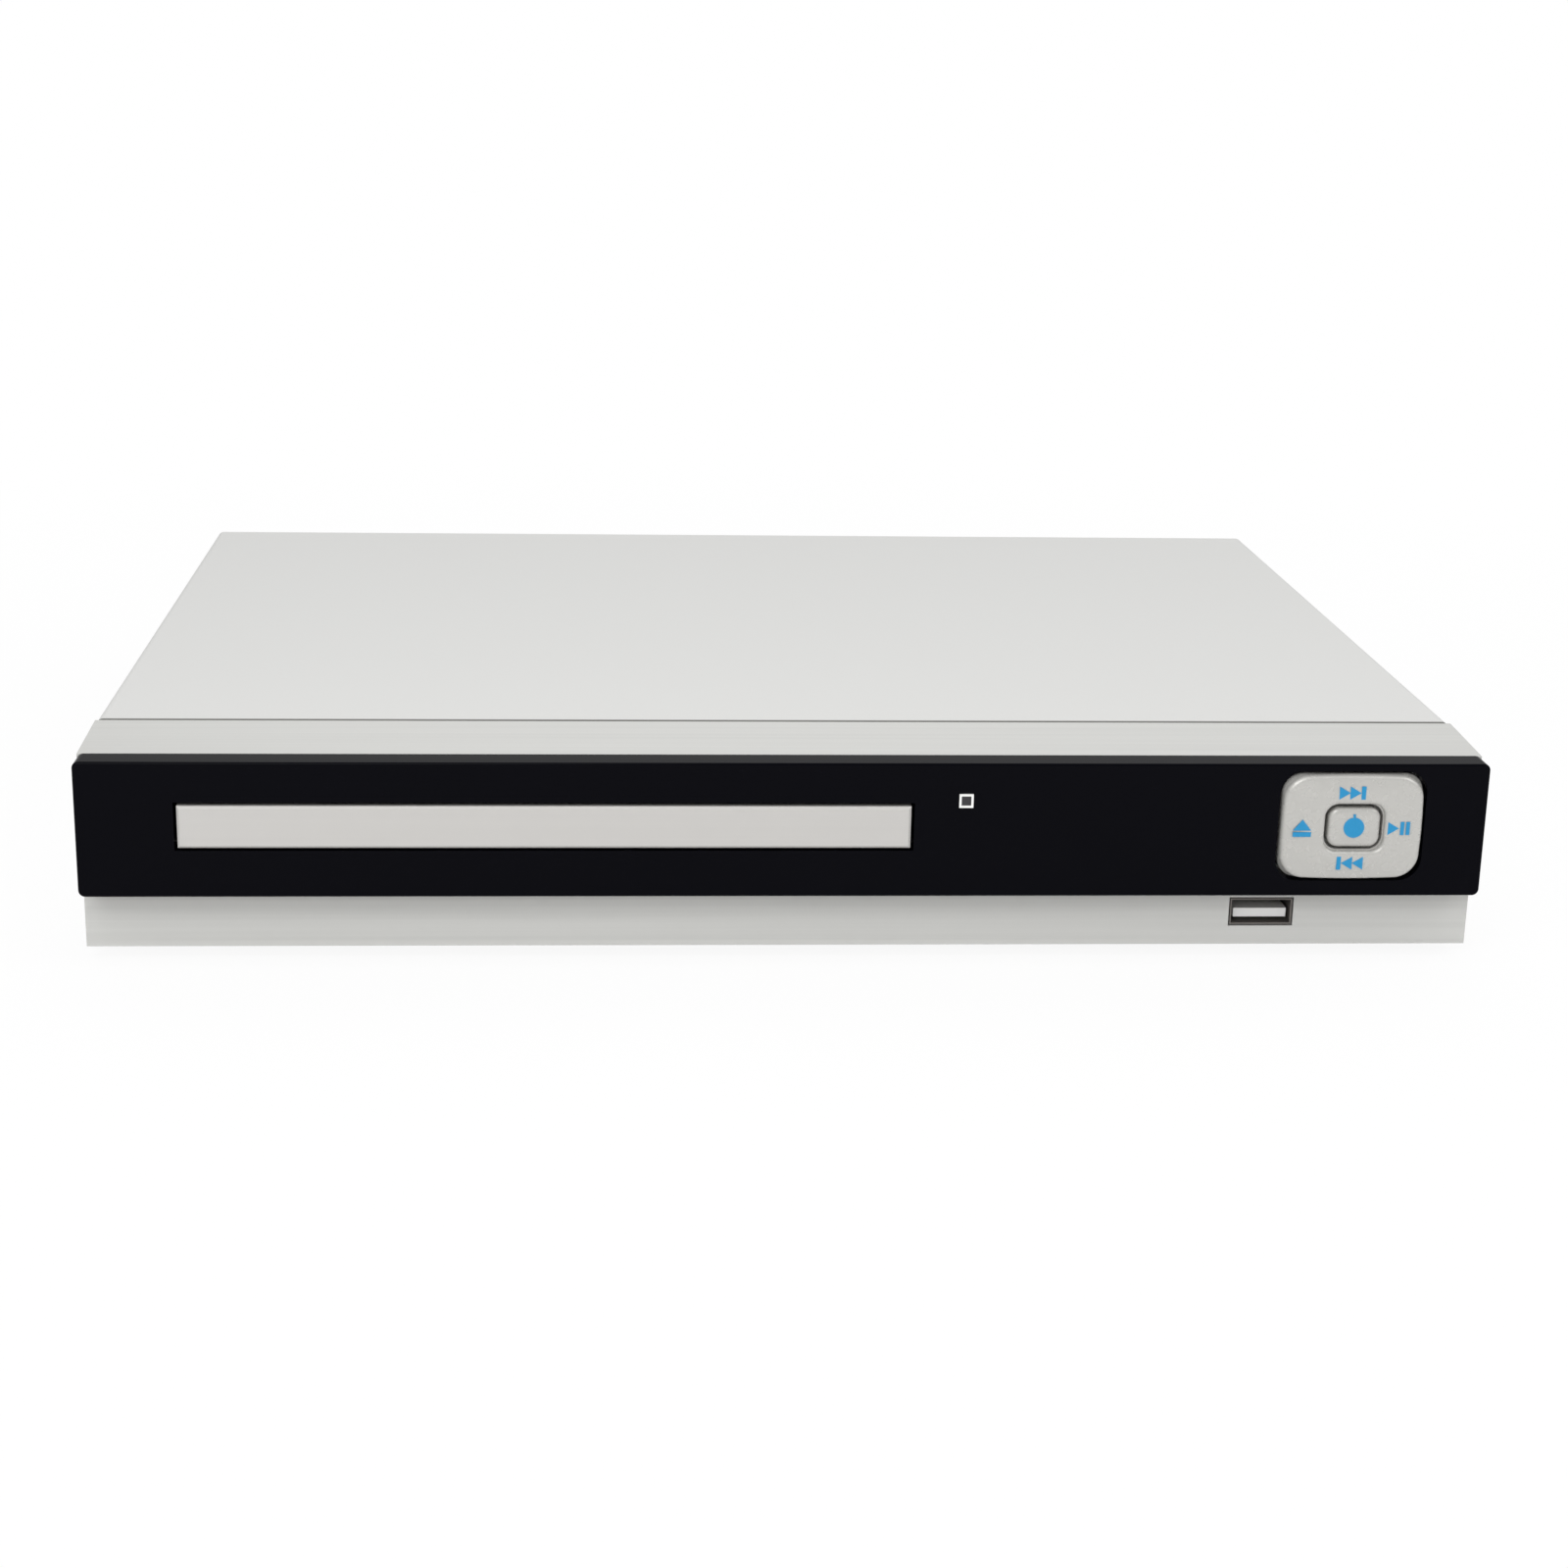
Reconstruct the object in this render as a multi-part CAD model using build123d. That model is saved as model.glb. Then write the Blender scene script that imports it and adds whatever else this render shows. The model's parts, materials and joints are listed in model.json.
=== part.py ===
from build123d import *
from math import acos, atan2, ceil, cos, degrees, pi, radians, sin, sqrt, tan
import os

# A slim disc player with a loading tray, in millimetres.
# X runs to the right, the front faces -Y and Z is up. The origin is the centre of the base.
# Every function below measures y backwards from the front face of the dark band.

# ---------------------------------------------------------------- case
WIDTH = 288.0
BODY_DEPTH = 225.0            # front face of the band to the back of the cover
BODY_HEIGHT = 42.2
FOOT_HEIGHT = 3.0
SHEET = 0.8                   # steel sheet of cover, pan and rear panel
FOLD_RADIUS = 1.5             # outside radius of the cover's folded edges
COVER_LIP = 7.0               # rear edge of the cover, folded down over the rear panel
PAN_FLANGE = 12.0             # side edges of the pan, folded up inside the cover
HOOK_LENGTH = 8.0             # hooks inside the cover, held in slots of the pan
HOOK_REACH = 2.6
HOOK_THICK = 1.2
HOOK_RISE = 4.2               # hook above the pan's floor
HOOK_YS = (62.0, 120.0, 178.0)
SIDE_VENTS = 9
SIDE_VENT_PITCH = 6.5
SIDE_VENT_WIDTH = 2.4
SIDE_VENT_HEIGHT = 16.0
SIDE_VENT_BASE = 16.0         # lowest point of the side vents above the base
SIDE_VENT_Y = 190.0           # middle of the row
FLOOR_VENTS = 8
FLOOR_VENT_PITCH = 7.0
FLOOR_VENT_WIDTH = 2.6
FLOOR_VENT_LENGTH = 26.0
PAN_TAB_SHARES = (-0.347, 0.0, 0.229)   # of the width: tabs of the pan on the front panel's foot

# ---------------------------------------------------------------- clearances
FIT = 0.1                     # between case pieces that slide together
RUN = 0.3                     # between pieces that move past each other
PIN_PLAY = 0.05               # radial play of a pin or shaft in its bore
SCREW_PLAY = 0.1              # radial play of a screw in its hole

# ---------------------------------------------------------------- fasteners
SCREW_D = 2.8
SCREW_HEAD_D = 5.6
SCREW_HEAD_HEIGHT = 1.8
CROSS_WIDTH = 0.8             # cross slot in each screw head
CROSS_LENGTH = 3.2
CROSS_DEPTH = 0.9

# ---------------------------------------------------------------- front
WALL = 2.2                    # moulded front pieces
PANEL_SETBACK = 6.3           # silver panel behind the front face of the band
SEAM_Y = 28.3                 # rear edge of the panel's top
SEAM_GAP = 0.5
TOP_FALL = 1.0                # how far the panel's top falls towards the front
TONGUE_LENGTH = 6.0           # edge of the panel that runs on under the cover
TONGUE_THICK = 1.6
PANEL_FOOT = 13.7             # depth of the panel's bottom wall
BAND_BASE = 15.8              # band's lower edge
BAND_TOP = 44.3
BAND_CORNER = 1.4
BAND_RIM = 2.0
BAND_EDGE = 0.5
PEG_D = 4.0
PEG_FROM_LEFT = 6.0
PEGS_FROM_RIGHT = (111.0, 82.0, 52.0, 6.0)
PEG_Z = 21.5

TRAY_FROM_LEFT = 94.5         # left side of the case to the middle of the tray
DOOR_WIDTH = 148.2
DOOR_HEIGHT = 8.8
DOOR_BASE = 26.4
DOOR_GAP = 0.7
DOOR_PROUD = 0.6
DOOR_BACK = 2.6
DOOR_EDGE = 0.7

WINDOW_FROM_TRAY = 85.3
WINDOW_Z = 36.4
WINDOW_SIZE = 3.0
WINDOW_RIM = 0.45
WINDOW_TUBE = 4.4             # light tube behind the window

# ---------------------------------------------------------------- keys
PAD_FROM_RIGHT = 28.2
PAD_Z = 31.0
PAD_WIDTH = 29.4
PAD_HEIGHT = 22.4
PAD_CORNER = 4.2
PAD_GAP = 0.6
PAD_PROUD = 1.6
PAD_BEVEL = 0.9
PAD_TILT = 2.0                # degrees each way
NECK_WIDTH = 24.0
NECK_HEIGHT = 15.4
RING_BAR = 2.2                # bars of the ring that the pad tilts in
RING_FRONT = 9.1
RING_BACK = 11.3
KEY_PIN_D = 1.4
EAR_THICK = 2.6
KEY_WELL_WIDTH = 12.5
KEY_WELL_HEIGHT = 10.2
KEY_WELL_CORNER = 2.8
POWER_X_SHIFT = 0.4
POWER_WIDTH = 10.8
POWER_HEIGHT = 8.4
POWER_CORNER = 2.2
POWER_EDGE = 0.6
POWER_PROUD = 1.4
POWER_BACK = 2.6
POWER_STEM_WIDTH = 5.0
POWER_STEM_HEIGHT = 3.6
POWER_TRAVEL = 0.4
PUSHER_D = 2.6
PUSHER_REACH = 0.75
PUSHER_X = 9.6
PUSHER_Z = 6.2
SWITCH_GAP = 0.45             # from a pusher to its switch
PLUNGER_D = 3.4
PLUNGER_LENGTH = 1.2
SWITCH_SIZE = 6.0
SWITCH_DEPTH = 3.5
BOARD_THICK = 1.6

# ---------------------------------------------------------------- tray
TRAY_RIM = 4.25               # beside the disc well
RUNNER_REACH = 3.5
RUNNER_THICK = 2.0
TRAY_REAR = 172.0
TRAY_TRAVEL = 134.0
TRAY_TOP = 34.6
TRAY_UNDER = 29.0
DISC_Y = 72.0                 # middle of the disc
DISC_WELL_D = 121.5
DISC_WELL_FLOOR = 30.9
SMALL_WELL_D = 81.5
SMALL_WELL_FLOOR = 30.2
TRAY_SLOT = 38.0
FINGER_DIP_D = 26.0
RACK_MODULE = 1.0
RACK_INSET = 7.0              # pitch line of the tray's rack inside the tray's side
RACK_HEIGHT = 2.4
RACK_BACKING = 2.0
RACK_FRONT = 12.0
RACK_END = 14.0               # rack behind its last meshing place

# ---------------------------------------------------------------- loader
RUNNER_GAP = 2.3              # tray's runner to the loader's side wall
LOADER_WALL = 2.2
LOADER_FRONT = 10.0
LOADER_REAR = 178.2
LOADER_BASE = 8.0
LOADER_TOP = 36.4
LEDGE_REACH = 4.0
LEDGE_THICK = 2.3
TAB_LENGTH = 22.0
TAB_THICK = 1.5
TAB_YS = (16.0, 92.0, 150.0)
LUG_LENGTH = 12.0
LUG_REACH = 10.0
LUG_THICK = 2.5
LUG_YS = (44.0, 158.0)
SHELF_TOP = 21.6
SHELF_THICK = 1.6
SHELF_INNER = 24.0            # inner edge of the gear shelf from the tray's middle
SHELF_REAR = 31.5
FRONT_BAR_REAR = 21.7         # upright bar across the front that the cam slide runs on
FRONT_BAR_TOP = 20.0
REAR_FLOOR_FRONT = 160.0
PIVOT_EAR = 4.0

PINION_Y = 20.0
PINION_TEETH = 16
GEAR_MODULE = 0.8
GEAR_TEETH = 24
GEAR_THICK = 1.6
SMALL_TEETH = 10
PULLEY_D = 20.0
MOTOR_PULLEY_D = 6.0
PULLEY_THICK = 1.8
BELT_THICK = 0.9
BELT_HEIGHT = 1.0
BELT_GAP = 0.12
MOTOR_INSET = 11.6            # loading motor inside the loader's side
POST_D = 3.0
LOAD_MOTOR_D = 16.0
LOAD_MOTOR_LENGTH = 11.5
MOTOR_SHAFT_D = 2.0
BACKLASH = 0.14
ADDENDUM = 0.8                # tooth height above the pitch line, in modules
DEDENDUM = 1.15
PRESSURE = radians(20)
FLANK_STEPS = 4

BRIDGE_THICK = 2.0
BRIDGE_FRONT = 50.0
BRIDGE_REAR = 94.0
CLAMP_HOLE_D = 30.0
CLAMP_FLANGE_D = 36.0
CLAMP_FLANGE = 1.6
CLAMP_BODY_D = 28.0
CLAMP_UNDER = 34.9
CLAMP_WELL_D = 16.0
CLAMP_WELL = 2.6

# ---------------------------------------------------------------- traverse
PIVOT_Y = 165.0
PIVOT_D = 3.0
PIVOT_Z = 20.5
LIFT_ANGLE = 4.6              # degrees from disc height down to the lowered place
LIFTER_HALF = 50.0
LIFTER_BAR = 8.0
LIFTER_FRONT = 34.0
LIFTER_BASE = 18.5
LIFTER_TOP = 22.5
DECK_HALF = 49.4
DECK_FRONT = 44.0
DECK_REAR = 152.0
DECK_BASE = 24.0
DECK_THICK = 1.2
DAMPER_D = 8.0
DAMPER_NECK_D = 5.0
CAM_PIN_D = 3.0
CAM_PIN_X = -10.0
CAM_PIN_Z = 19.0
CAM_PIN_FRONT = 22.2
CAM_Y = 22.0
CAM_THICK = 2.0
CAM_TRAVEL = 20.0
CAM_LEFT = -48.0
CAM_RIGHT = 3.0
CAM_BASE = 4.9
CAM_TOP = 21.4
CAM_SLOT_PLAY = 0.3
CAM_LUG_TOP = 28.5
SPINDLE_D = 1.8
SPINDLE_MOTOR_D = 24.0
SPINDLE_MOTOR_TOP = 31.0
SPINDLE_BOSS_D = 10.0
TURNTABLE_D = 29.0
TURNTABLE_BASE = 31.9
TURNTABLE_TOP = 34.4
HUB_D = 14.9
HUB_TOP = 37.0
ROD_X = 25.0
ROD_Z = 21.6
ROD_D = 3.0
ROD_FRONT = 78.0
ROD_REAR = 150.0
ROD_HOLDER = 4.0
PICKUP_TRAVEL = 34.0
LENS_START = 24.0             # lens to spindle at the inner end of its travel
PICKUP_HALF = 20.0
PICKUP_LENGTH = 23.0
PICKUP_BASE = 17.5
PICKUP_TOP = 28.3
PICKUP_WING = 29.0
ACTUATOR_WIDTH = 26.0
ACTUATOR_LENGTH = 19.0
ACTUATOR_TOP = 31.4
LENS_D = 6.0
LENS_TOP = 32.6
LENS_CARRIER = 11.0
FOCUS_TRAVEL = 0.5
SLED_MODULE = 0.6
SLED_RACK_X = 31.0
SLED_RACK_BASE = 20.6
SLED_RACK_TOP = 22.8
SLED_SMALL_TEETH = 10
SLED_LARGE_TEETH = 24
SLED_PINION_TEETH = 10
SLED_GEAR_Y = 112.0
SLED_GEAR_THICK = 1.8
SLED_MOTOR_D = 11.0
SLED_MOTOR_LENGTH = 7.6

# ---------------------------------------------------------------- boards
BOARD_SIDE_GAP = 3.2          # loader's lugs to the main board
MAIN_INSET = 5.0
MAIN_FRONT = 88.0
MAIN_BASE = 9.8
BOARD_REAR_GAP = 1.6          # boards stop this far before the rear panel
DECODER_INSET = 57.0          # from the main board's right edge
DECODER_FROM_FRONT = 62.0     # from the main board's front edge
DECODER_SIZE = 28.0
DECODER_HEIGHT = 2.0
HEAT_SINK_SIZE = 24.0
HEAT_SINK_BASE = 1.6
HEAT_SINK_HEIGHT = 10.0
FIN_COUNT = 7
HEAT_SINK_FIN = 1.0
POWER_INSET = 4.0
POWER_LENGTH = 118.0
POWER_GAP = 3.8               # behind the loader
KEY_GAP = 3.5                 # key board to the tray's slot
KEY_INSET = 6.0
RIBBON_FROM_RIGHT = 47.0
RIBBON_WIDTH = 12.0
KEY_BOTTOM = 17.5
KEY_TOP = 40.5
USB_FROM_RIGHT = 44.0
USB_Z = 10.2
USB_WIDTH = 13.1
USB_HEIGHT = 5.7
USB_DEPTH = 14.0
USB_SHELL = 0.3
USB_TONGUE = 11.2
USB_TONGUE_THICK = 1.9
USB_TONGUE_TOP = 0.3          # above the middle of the socket
USB_BOARD_HALF = 15.0
USB_BOARD_REAR = 36.0
STANDOFF_D = 6.0
HDMI_FROM_RIGHT = 96.0
HDMI_WIDTH = 15.0
HDMI_HEIGHT = 5.6
HDMI_DEPTH = 11.6
SCART_FROM_RIGHT = 64.0
SCART_WIDTH = 47.0
SCART_HEIGHT = 15.4
SCART_DEPTH = 13.0
RCA_FROM_RIGHT = 22.0
RCA_PITCH = 14.0
RCA_BASE_Z = 18.6
RCA_D = 8.25                  # contact barrel
RCA_NECK_D = 6.6              # its part inside the block
RCA_HOLE_D = 3.3
RCA_PROUD = 8.2               # contact barrels behind the cover's rear edge
RCA_BLOCK_WIDTH = 29.0
RCA_BLOCK_DEPTH = 12.0
HARNESS_LENGTH = 12.0         # plugs of the power wires
WIRE_D = 1.3
WIRE_BEND = 3.0
INLET_FROM_LEFT = 17.0
INLET_WIDTH = 24.0            # mains inlet
INLET_DEPTH = 17.0
INLET_HEIGHT = 20.0
INLET_CAVITY = 13.5
INLET_CAVITY_WIDTH = 15.9
INLET_CAVITY_HEIGHT = 8.0
INLET_PIN_D = 2.4
INLET_PITCH = 8.6
FILTER_OFFSET = 34.0          # pieces on the power board, from its left edge
BULK_CAN_OFFSET = 56.0
TRANSFORMER_OFFSET = 64.0
HEAT_SINK_OFFSET = 94.0
OUTPUT_CAN_OFFSET = 101.2
TRANSFORMER_WIDTH = 28.0
BULK_CAN_D = 13.0
BULK_CAN_HEIGHT = 22.0
OUTPUT_CAN_D = 8.8
OUTPUT_CAN_HEIGHT = 16.0
SMALL_CAN_D = 6.3
SMALL_CAN_HEIGHT = 9.0
BENT_SINK_THICK = 2.0
BENT_SINK_REACH = 10.0
BENT_SINK_HEIGHT = 20.0
FUSE_D = 5.0
SOCKET_DEPTH = 4.5            # ribbon sockets
SOCKET_HEIGHT = 5.0
RIBBON_THICK = 0.3
WIRES = 5
FOOT_D = 14.0
FOOT_INSET_X = 30.0
FOOT_INSET_FRONT = 46.0
FOOT_INSET_REAR = 25.0

# ---------------------------------------------------------------- worked-out places
BASE = FOOT_HEIGHT
TOP = BASE + BODY_HEIGHT
HALF = WIDTH / 2
INSIDE = HALF - SHEET
PAN_HALF = INSIDE - FIT
PAN_TOP = BASE + SHEET
REAR_OUT = BODY_DEPTH - SHEET
REAR_IN = REAR_OUT - SHEET
BOARD_REAR = REAR_IN - BOARD_REAR_GAP
PANEL_BACK = PANEL_SETBACK + WALL
TRAY_X = TRAY_FROM_LEFT - HALF
PAD_X = HALF - PAD_FROM_RIGHT
PAD_BACK = PANEL_SETBACK - (PAD_WIDTH + PAD_HEIGHT) / 2 * sin(radians(PAD_TILT)) - FIT
WINDOW_X = TRAY_X + WINDOW_FROM_TRAY
USB_X = HALF - USB_FROM_RIGHT
PEG_XS = [PEG_FROM_LEFT - HALF] + [HALF - inset for inset in PEGS_FROM_RIGHT]
TRAY_HALF = DISC_WELL_D / 2 + TRAY_RIM
PAN_FRONT = PANEL_SETBACK + PANEL_FOOT + FIT
FRONT_Y = (PAD_PROUD - BODY_DEPTH - RCA_PROUD) / 2
SLOT_BASE = DOOR_BASE - DOOR_GAP
SLOT_TOP = DOOR_BASE + DOOR_HEIGHT + DOOR_GAP
SLOT_HALF = DOOR_WIDTH / 2 + DOOR_GAP
RUNNER_HALF = TRAY_HALF + RUNNER_REACH
LOADER_INSIDE = RUNNER_HALF + RUNNER_GAP
LOADER_HALF = LOADER_INSIDE + LOADER_WALL
RACK_X = TRAY_HALF - RACK_INSET
RACK_REAR = PINION_Y + TRAY_TRAVEL + RACK_END
PINION_X = RACK_X - RACK_MODULE * PINION_TEETH / 2
MOTOR_X = LOADER_HALF - MOTOR_INSET
GEAR_CENTRES = GEAR_MODULE * (GEAR_TEETH + SMALL_TEETH) / 2
PULLEY_X = PINION_X - GEAR_CENTRES
PULLEY_BASE = SHELF_TOP + RUN
GEAR_BASE = PULLEY_BASE + PULLEY_THICK + RUN
PINION_TOP = TRAY_UNDER - RUN
DECK_TOP = DECK_BASE + DECK_THICK
LIFTER_REAR = PIVOT_Y - 3.0
LENS_Y = DISC_Y + LENS_START
SLED_CENTRES = SLED_MODULE * (SLED_LARGE_TEETH + SLED_PINION_TEETH) / 2
SLED_GEAR_X = SLED_RACK_X + SLED_MODULE * SLED_SMALL_TEETH / 2
SLED_MOTOR_Y = SLED_GEAR_Y + SLED_CENTRES
WING_BASE = ROD_Z - ROD_D / 2 - 0.7
SLED_LARGE_BASE = WING_BASE - RUN - SLED_GEAR_THICK
MAIN_TOP = MAIN_BASE + BOARD_THICK
HDMI_X = HALF - HDMI_FROM_RIGHT
SCART_X = HALF - SCART_FROM_RIGHT
RCA_X = HALF - RCA_FROM_RIGHT
INLET_X = INLET_FROM_LEFT - HALF
POWER_FRONT = LOADER_REAR + POWER_GAP
POWER_DEPTH = BOARD_REAR - POWER_FRONT
POWER_MIDDLE = POWER_FRONT + POWER_DEPTH / 2
POWER_LEFT = POWER_INSET - HALF
POWER_RIGHT = POWER_LEFT + POWER_LENGTH
MAIN_RIGHT = HALF - MAIN_INSET
MAIN_LEFT = TRAY_X + LOADER_HALF + LUG_REACH + BOARD_SIDE_GAP
MAIN_WING = min(MAIN_LEFT, HDMI_X - HDMI_WIDTH / 2 - 2.5)
DECODER_X = MAIN_RIGHT - DECODER_INSET
DECODER_Y = MAIN_FRONT + DECODER_FROM_FRONT
KEY_LEFT = TRAY_X + SLOT_HALF + KEY_GAP
KEY_RIGHT = HALF - KEY_INSET
KEY_MIDDLE = (KEY_BOTTOM + KEY_TOP) / 2
RIBBON_X = HALF - RIBBON_FROM_RIGHT
PLUNGER_TIP = RING_BACK + PUSHER_REACH + SWITCH_GAP
SWITCH_FRONT = PLUNGER_TIP + PLUNGER_LENGTH
KEY_BOARD_FRONT = SWITCH_FRONT + SWITCH_DEPTH
USB_BOARD_TOP = USB_Z - USB_HEIGHT / 2

CASE = Pos(0, FRONT_Y, 0)
LOADER = Pos(TRAY_X, FRONT_Y, 0)
KEYS = Pos(PAD_X, FRONT_Y, PAD_Z)


# ---------------------------------------------------------------- helpers
def block(x0, x1, y0, y1, z0, z1):
    """A box from its low to its high corner."""
    middle = Pos((x0 + x1) / 2, (y0 + y1) / 2, (z0 + z1) / 2)
    return middle * Box(x1 - x0, y1 - y0, z1 - z0)


def post(x, y, z0, z1, across):
    """An upright cylinder."""
    return Pos(x, y, (z0 + z1) / 2) * Cylinder(across / 2, z1 - z0)


def rod(x, z, y0, y1, across):
    """A cylinder along Y."""
    return Pos(x, (y0 + y1) / 2, z) * Rot(90, 0, 0) * Cylinder(across / 2, y1 - y0)


def bar(y, z, x0, x1, across):
    """A cylinder along X."""
    return Pos((x0 + x1) / 2, y, z) * Rot(0, 90, 0) * Cylinder(across / 2, x1 - x0)


def side_plate(points, x0, x1):
    """A plate drawn in the YZ plane and run along X."""
    drawn = make_face(Polyline(*[(0, y, z) for y, z in points], close=True))
    return Pos(x0, 0, 0) * extrude(drawn, x1 - x0, dir=(1, 0, 0))


def front_plate(drawn, y0, y1):
    """A shape drawn in X and Z, run backwards from y0 to y1."""
    return Pos(0, y1, 0) * Rot(90, 0, 0) * extrude(drawn, y1 - y0)


def group(pieces):
    """Separate solids of one kind, kept apart."""
    return Compound(children=[solid for piece in pieces for solid in piece.solids()])


def keep(name, shape, place=CASE):
    """Put a piece where it belongs and write its file."""
    placed = place * shape
    placed.label = name
    export_step(placed, f"parts/{name}.step")


def screw(length):
    """A pan-head screw pointing down, its head's underside at zero."""
    head = Pos(0, 0, SCREW_HEAD_HEIGHT / 2) * Cylinder(SCREW_HEAD_D / 2, SCREW_HEAD_HEIGHT)
    head = fillet(head.edges().group_by(Axis.Z)[-1], SCREW_HEAD_HEIGHT * 0.4)
    shank = Pos(0, 0, -length / 2) * Cylinder(SCREW_D / 2, length)
    cut = Pos(0, 0, SCREW_HEAD_HEIGHT - CROSS_DEPTH / 2)
    cross = cut * (Box(CROSS_LENGTH, CROSS_WIDTH, CROSS_DEPTH) + Box(CROSS_WIDTH, CROSS_LENGTH, CROSS_DEPTH))
    return head + shank - cross


def flank_angle(radius, pitch_radius, half_tooth):
    """Half the angle of an involute tooth at a radius."""
    base = pitch_radius * cos(PRESSURE)
    lean = acos(base / radius) if radius > base else 0.0
    return half_tooth + (tan(PRESSURE) - PRESSURE) - (tan(lean) - lean)


def gear(module, teeth, z0, z1, bore, aim=0.0):
    """A spur gear with one tooth pointing along aim, in degrees from +X."""
    pitch_radius = module * teeth / 2
    tip = pitch_radius + ADDENDUM * module
    root = pitch_radius - DEDENDUM * module
    half_tooth = pi / (2 * teeth) - BACKLASH / (4 * pitch_radius)
    radii = [root + (tip - root) * step / FLANK_STEPS for step in range(FLANK_STEPS + 1)]
    points = []
    for tooth in range(teeth):
        middle = radians(aim) + 2 * pi * tooth / teeth
        for side, order in ((-1, radii), (1, radii[::-1])):
            for radius in order:
                turn = middle + side * flank_angle(radius, pitch_radius, half_tooth)
                points.append((radius * cos(turn), radius * sin(turn)))
    outline = make_face(Polyline(*points, close=True)) - Circle(bore / 2)
    return Pos(0, 0, z0) * extrude(outline, z1 - z0)


def rack(module, y0, y1, mesh_y, backing):
    """A rack along Y as a face: pitch line at x = 0, teeth towards -X, a gap at mesh_y."""
    pitch = pi * module
    half_tooth = pitch / 4 - BACKLASH / 4
    first = ceil((y0 - mesh_y) / pitch - 0.5) + 1
    last = int((y1 - mesh_y) // pitch - 1)
    tip = -ADDENDUM * module
    root = DEDENDUM * module
    points = [(root + backing, y0), (root, y0)]
    for tooth in range(first, last + 1):
        middle = mesh_y + (tooth + 0.5) * pitch
        foot = half_tooth + root * tan(PRESSURE)
        crest = half_tooth + tip * tan(PRESSURE)
        points += [(root, middle - foot), (tip, middle - crest), (tip, middle + crest), (root, middle + foot)]
    points += [(root, y1), (root + backing, y1)]
    return make_face(Polyline(*points, close=True))


# ---------------------------------------------------------------- case pieces
def make_top_cover():
    outer = block(-HALF, HALF, SEAM_Y + SEAM_GAP, BODY_DEPTH, BASE, TOP)
    outer = fillet(outer.edges().filter_by(Axis.Y).group_by(Axis.Z)[-1], FOLD_RADIUS)
    inner = block(-INSIDE, INSIDE, SEAM_Y, REAR_OUT, BASE - SHEET, TOP - SHEET)
    inner = fillet(inner.edges().filter_by(Axis.Y).group_by(Axis.Z)[-1], FOLD_RADIUS - SHEET)
    open_back = block(-INSIDE, INSIDE, REAR_OUT - SHEET, BODY_DEPTH + SHEET, BASE - SHEET, TOP - COVER_LIP)
    cover = outer - inner - open_back
    vents = []
    for count in range(SIDE_VENTS):
        y = SIDE_VENT_Y + (count - (SIDE_VENTS - 1) / 2) * SIDE_VENT_PITCH
        z = SIDE_VENT_BASE + SIDE_VENT_HEIGHT / 2
        slot = SlotOverall(SIDE_VENT_HEIGHT, SIDE_VENT_WIDTH, rotation=90)
        cutter = Rot(0, 90, 0) * Rot(0, 0, 90) * extrude(slot, WIDTH + 2, both=True)
        vents.append(Pos(0, y, z) * cutter)
    cover -= vents
    for y in HOOK_YS:
        for side in (-1, 1):
            edges = sorted((side * INSIDE, side * (INSIDE - HOOK_REACH)))
            z = PAN_TOP + HOOK_RISE
            cover += block(*edges, y, y + HOOK_LENGTH, z, z + HOOK_THICK)
    for x, z in rear_screw_places()[:3]:
        cover -= rod(x, z, REAR_OUT - 1, BODY_DEPTH + 1, SCREW_D + 2 * SCREW_PLAY)
    return cover


def rear_screw_places():
    """Three screws through the cover's lip, then two through the rear panel's lower edge."""
    high = TOP - COVER_LIP / 2 - SHEET / 2
    low = PAN_TOP + SCREW_HEAD_D / 2 + FIT
    return [(-HALF * 0.72, high), (0, high), (HALF * 0.72, high), (-HALF * 0.3, low), (4.0, low)]


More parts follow.
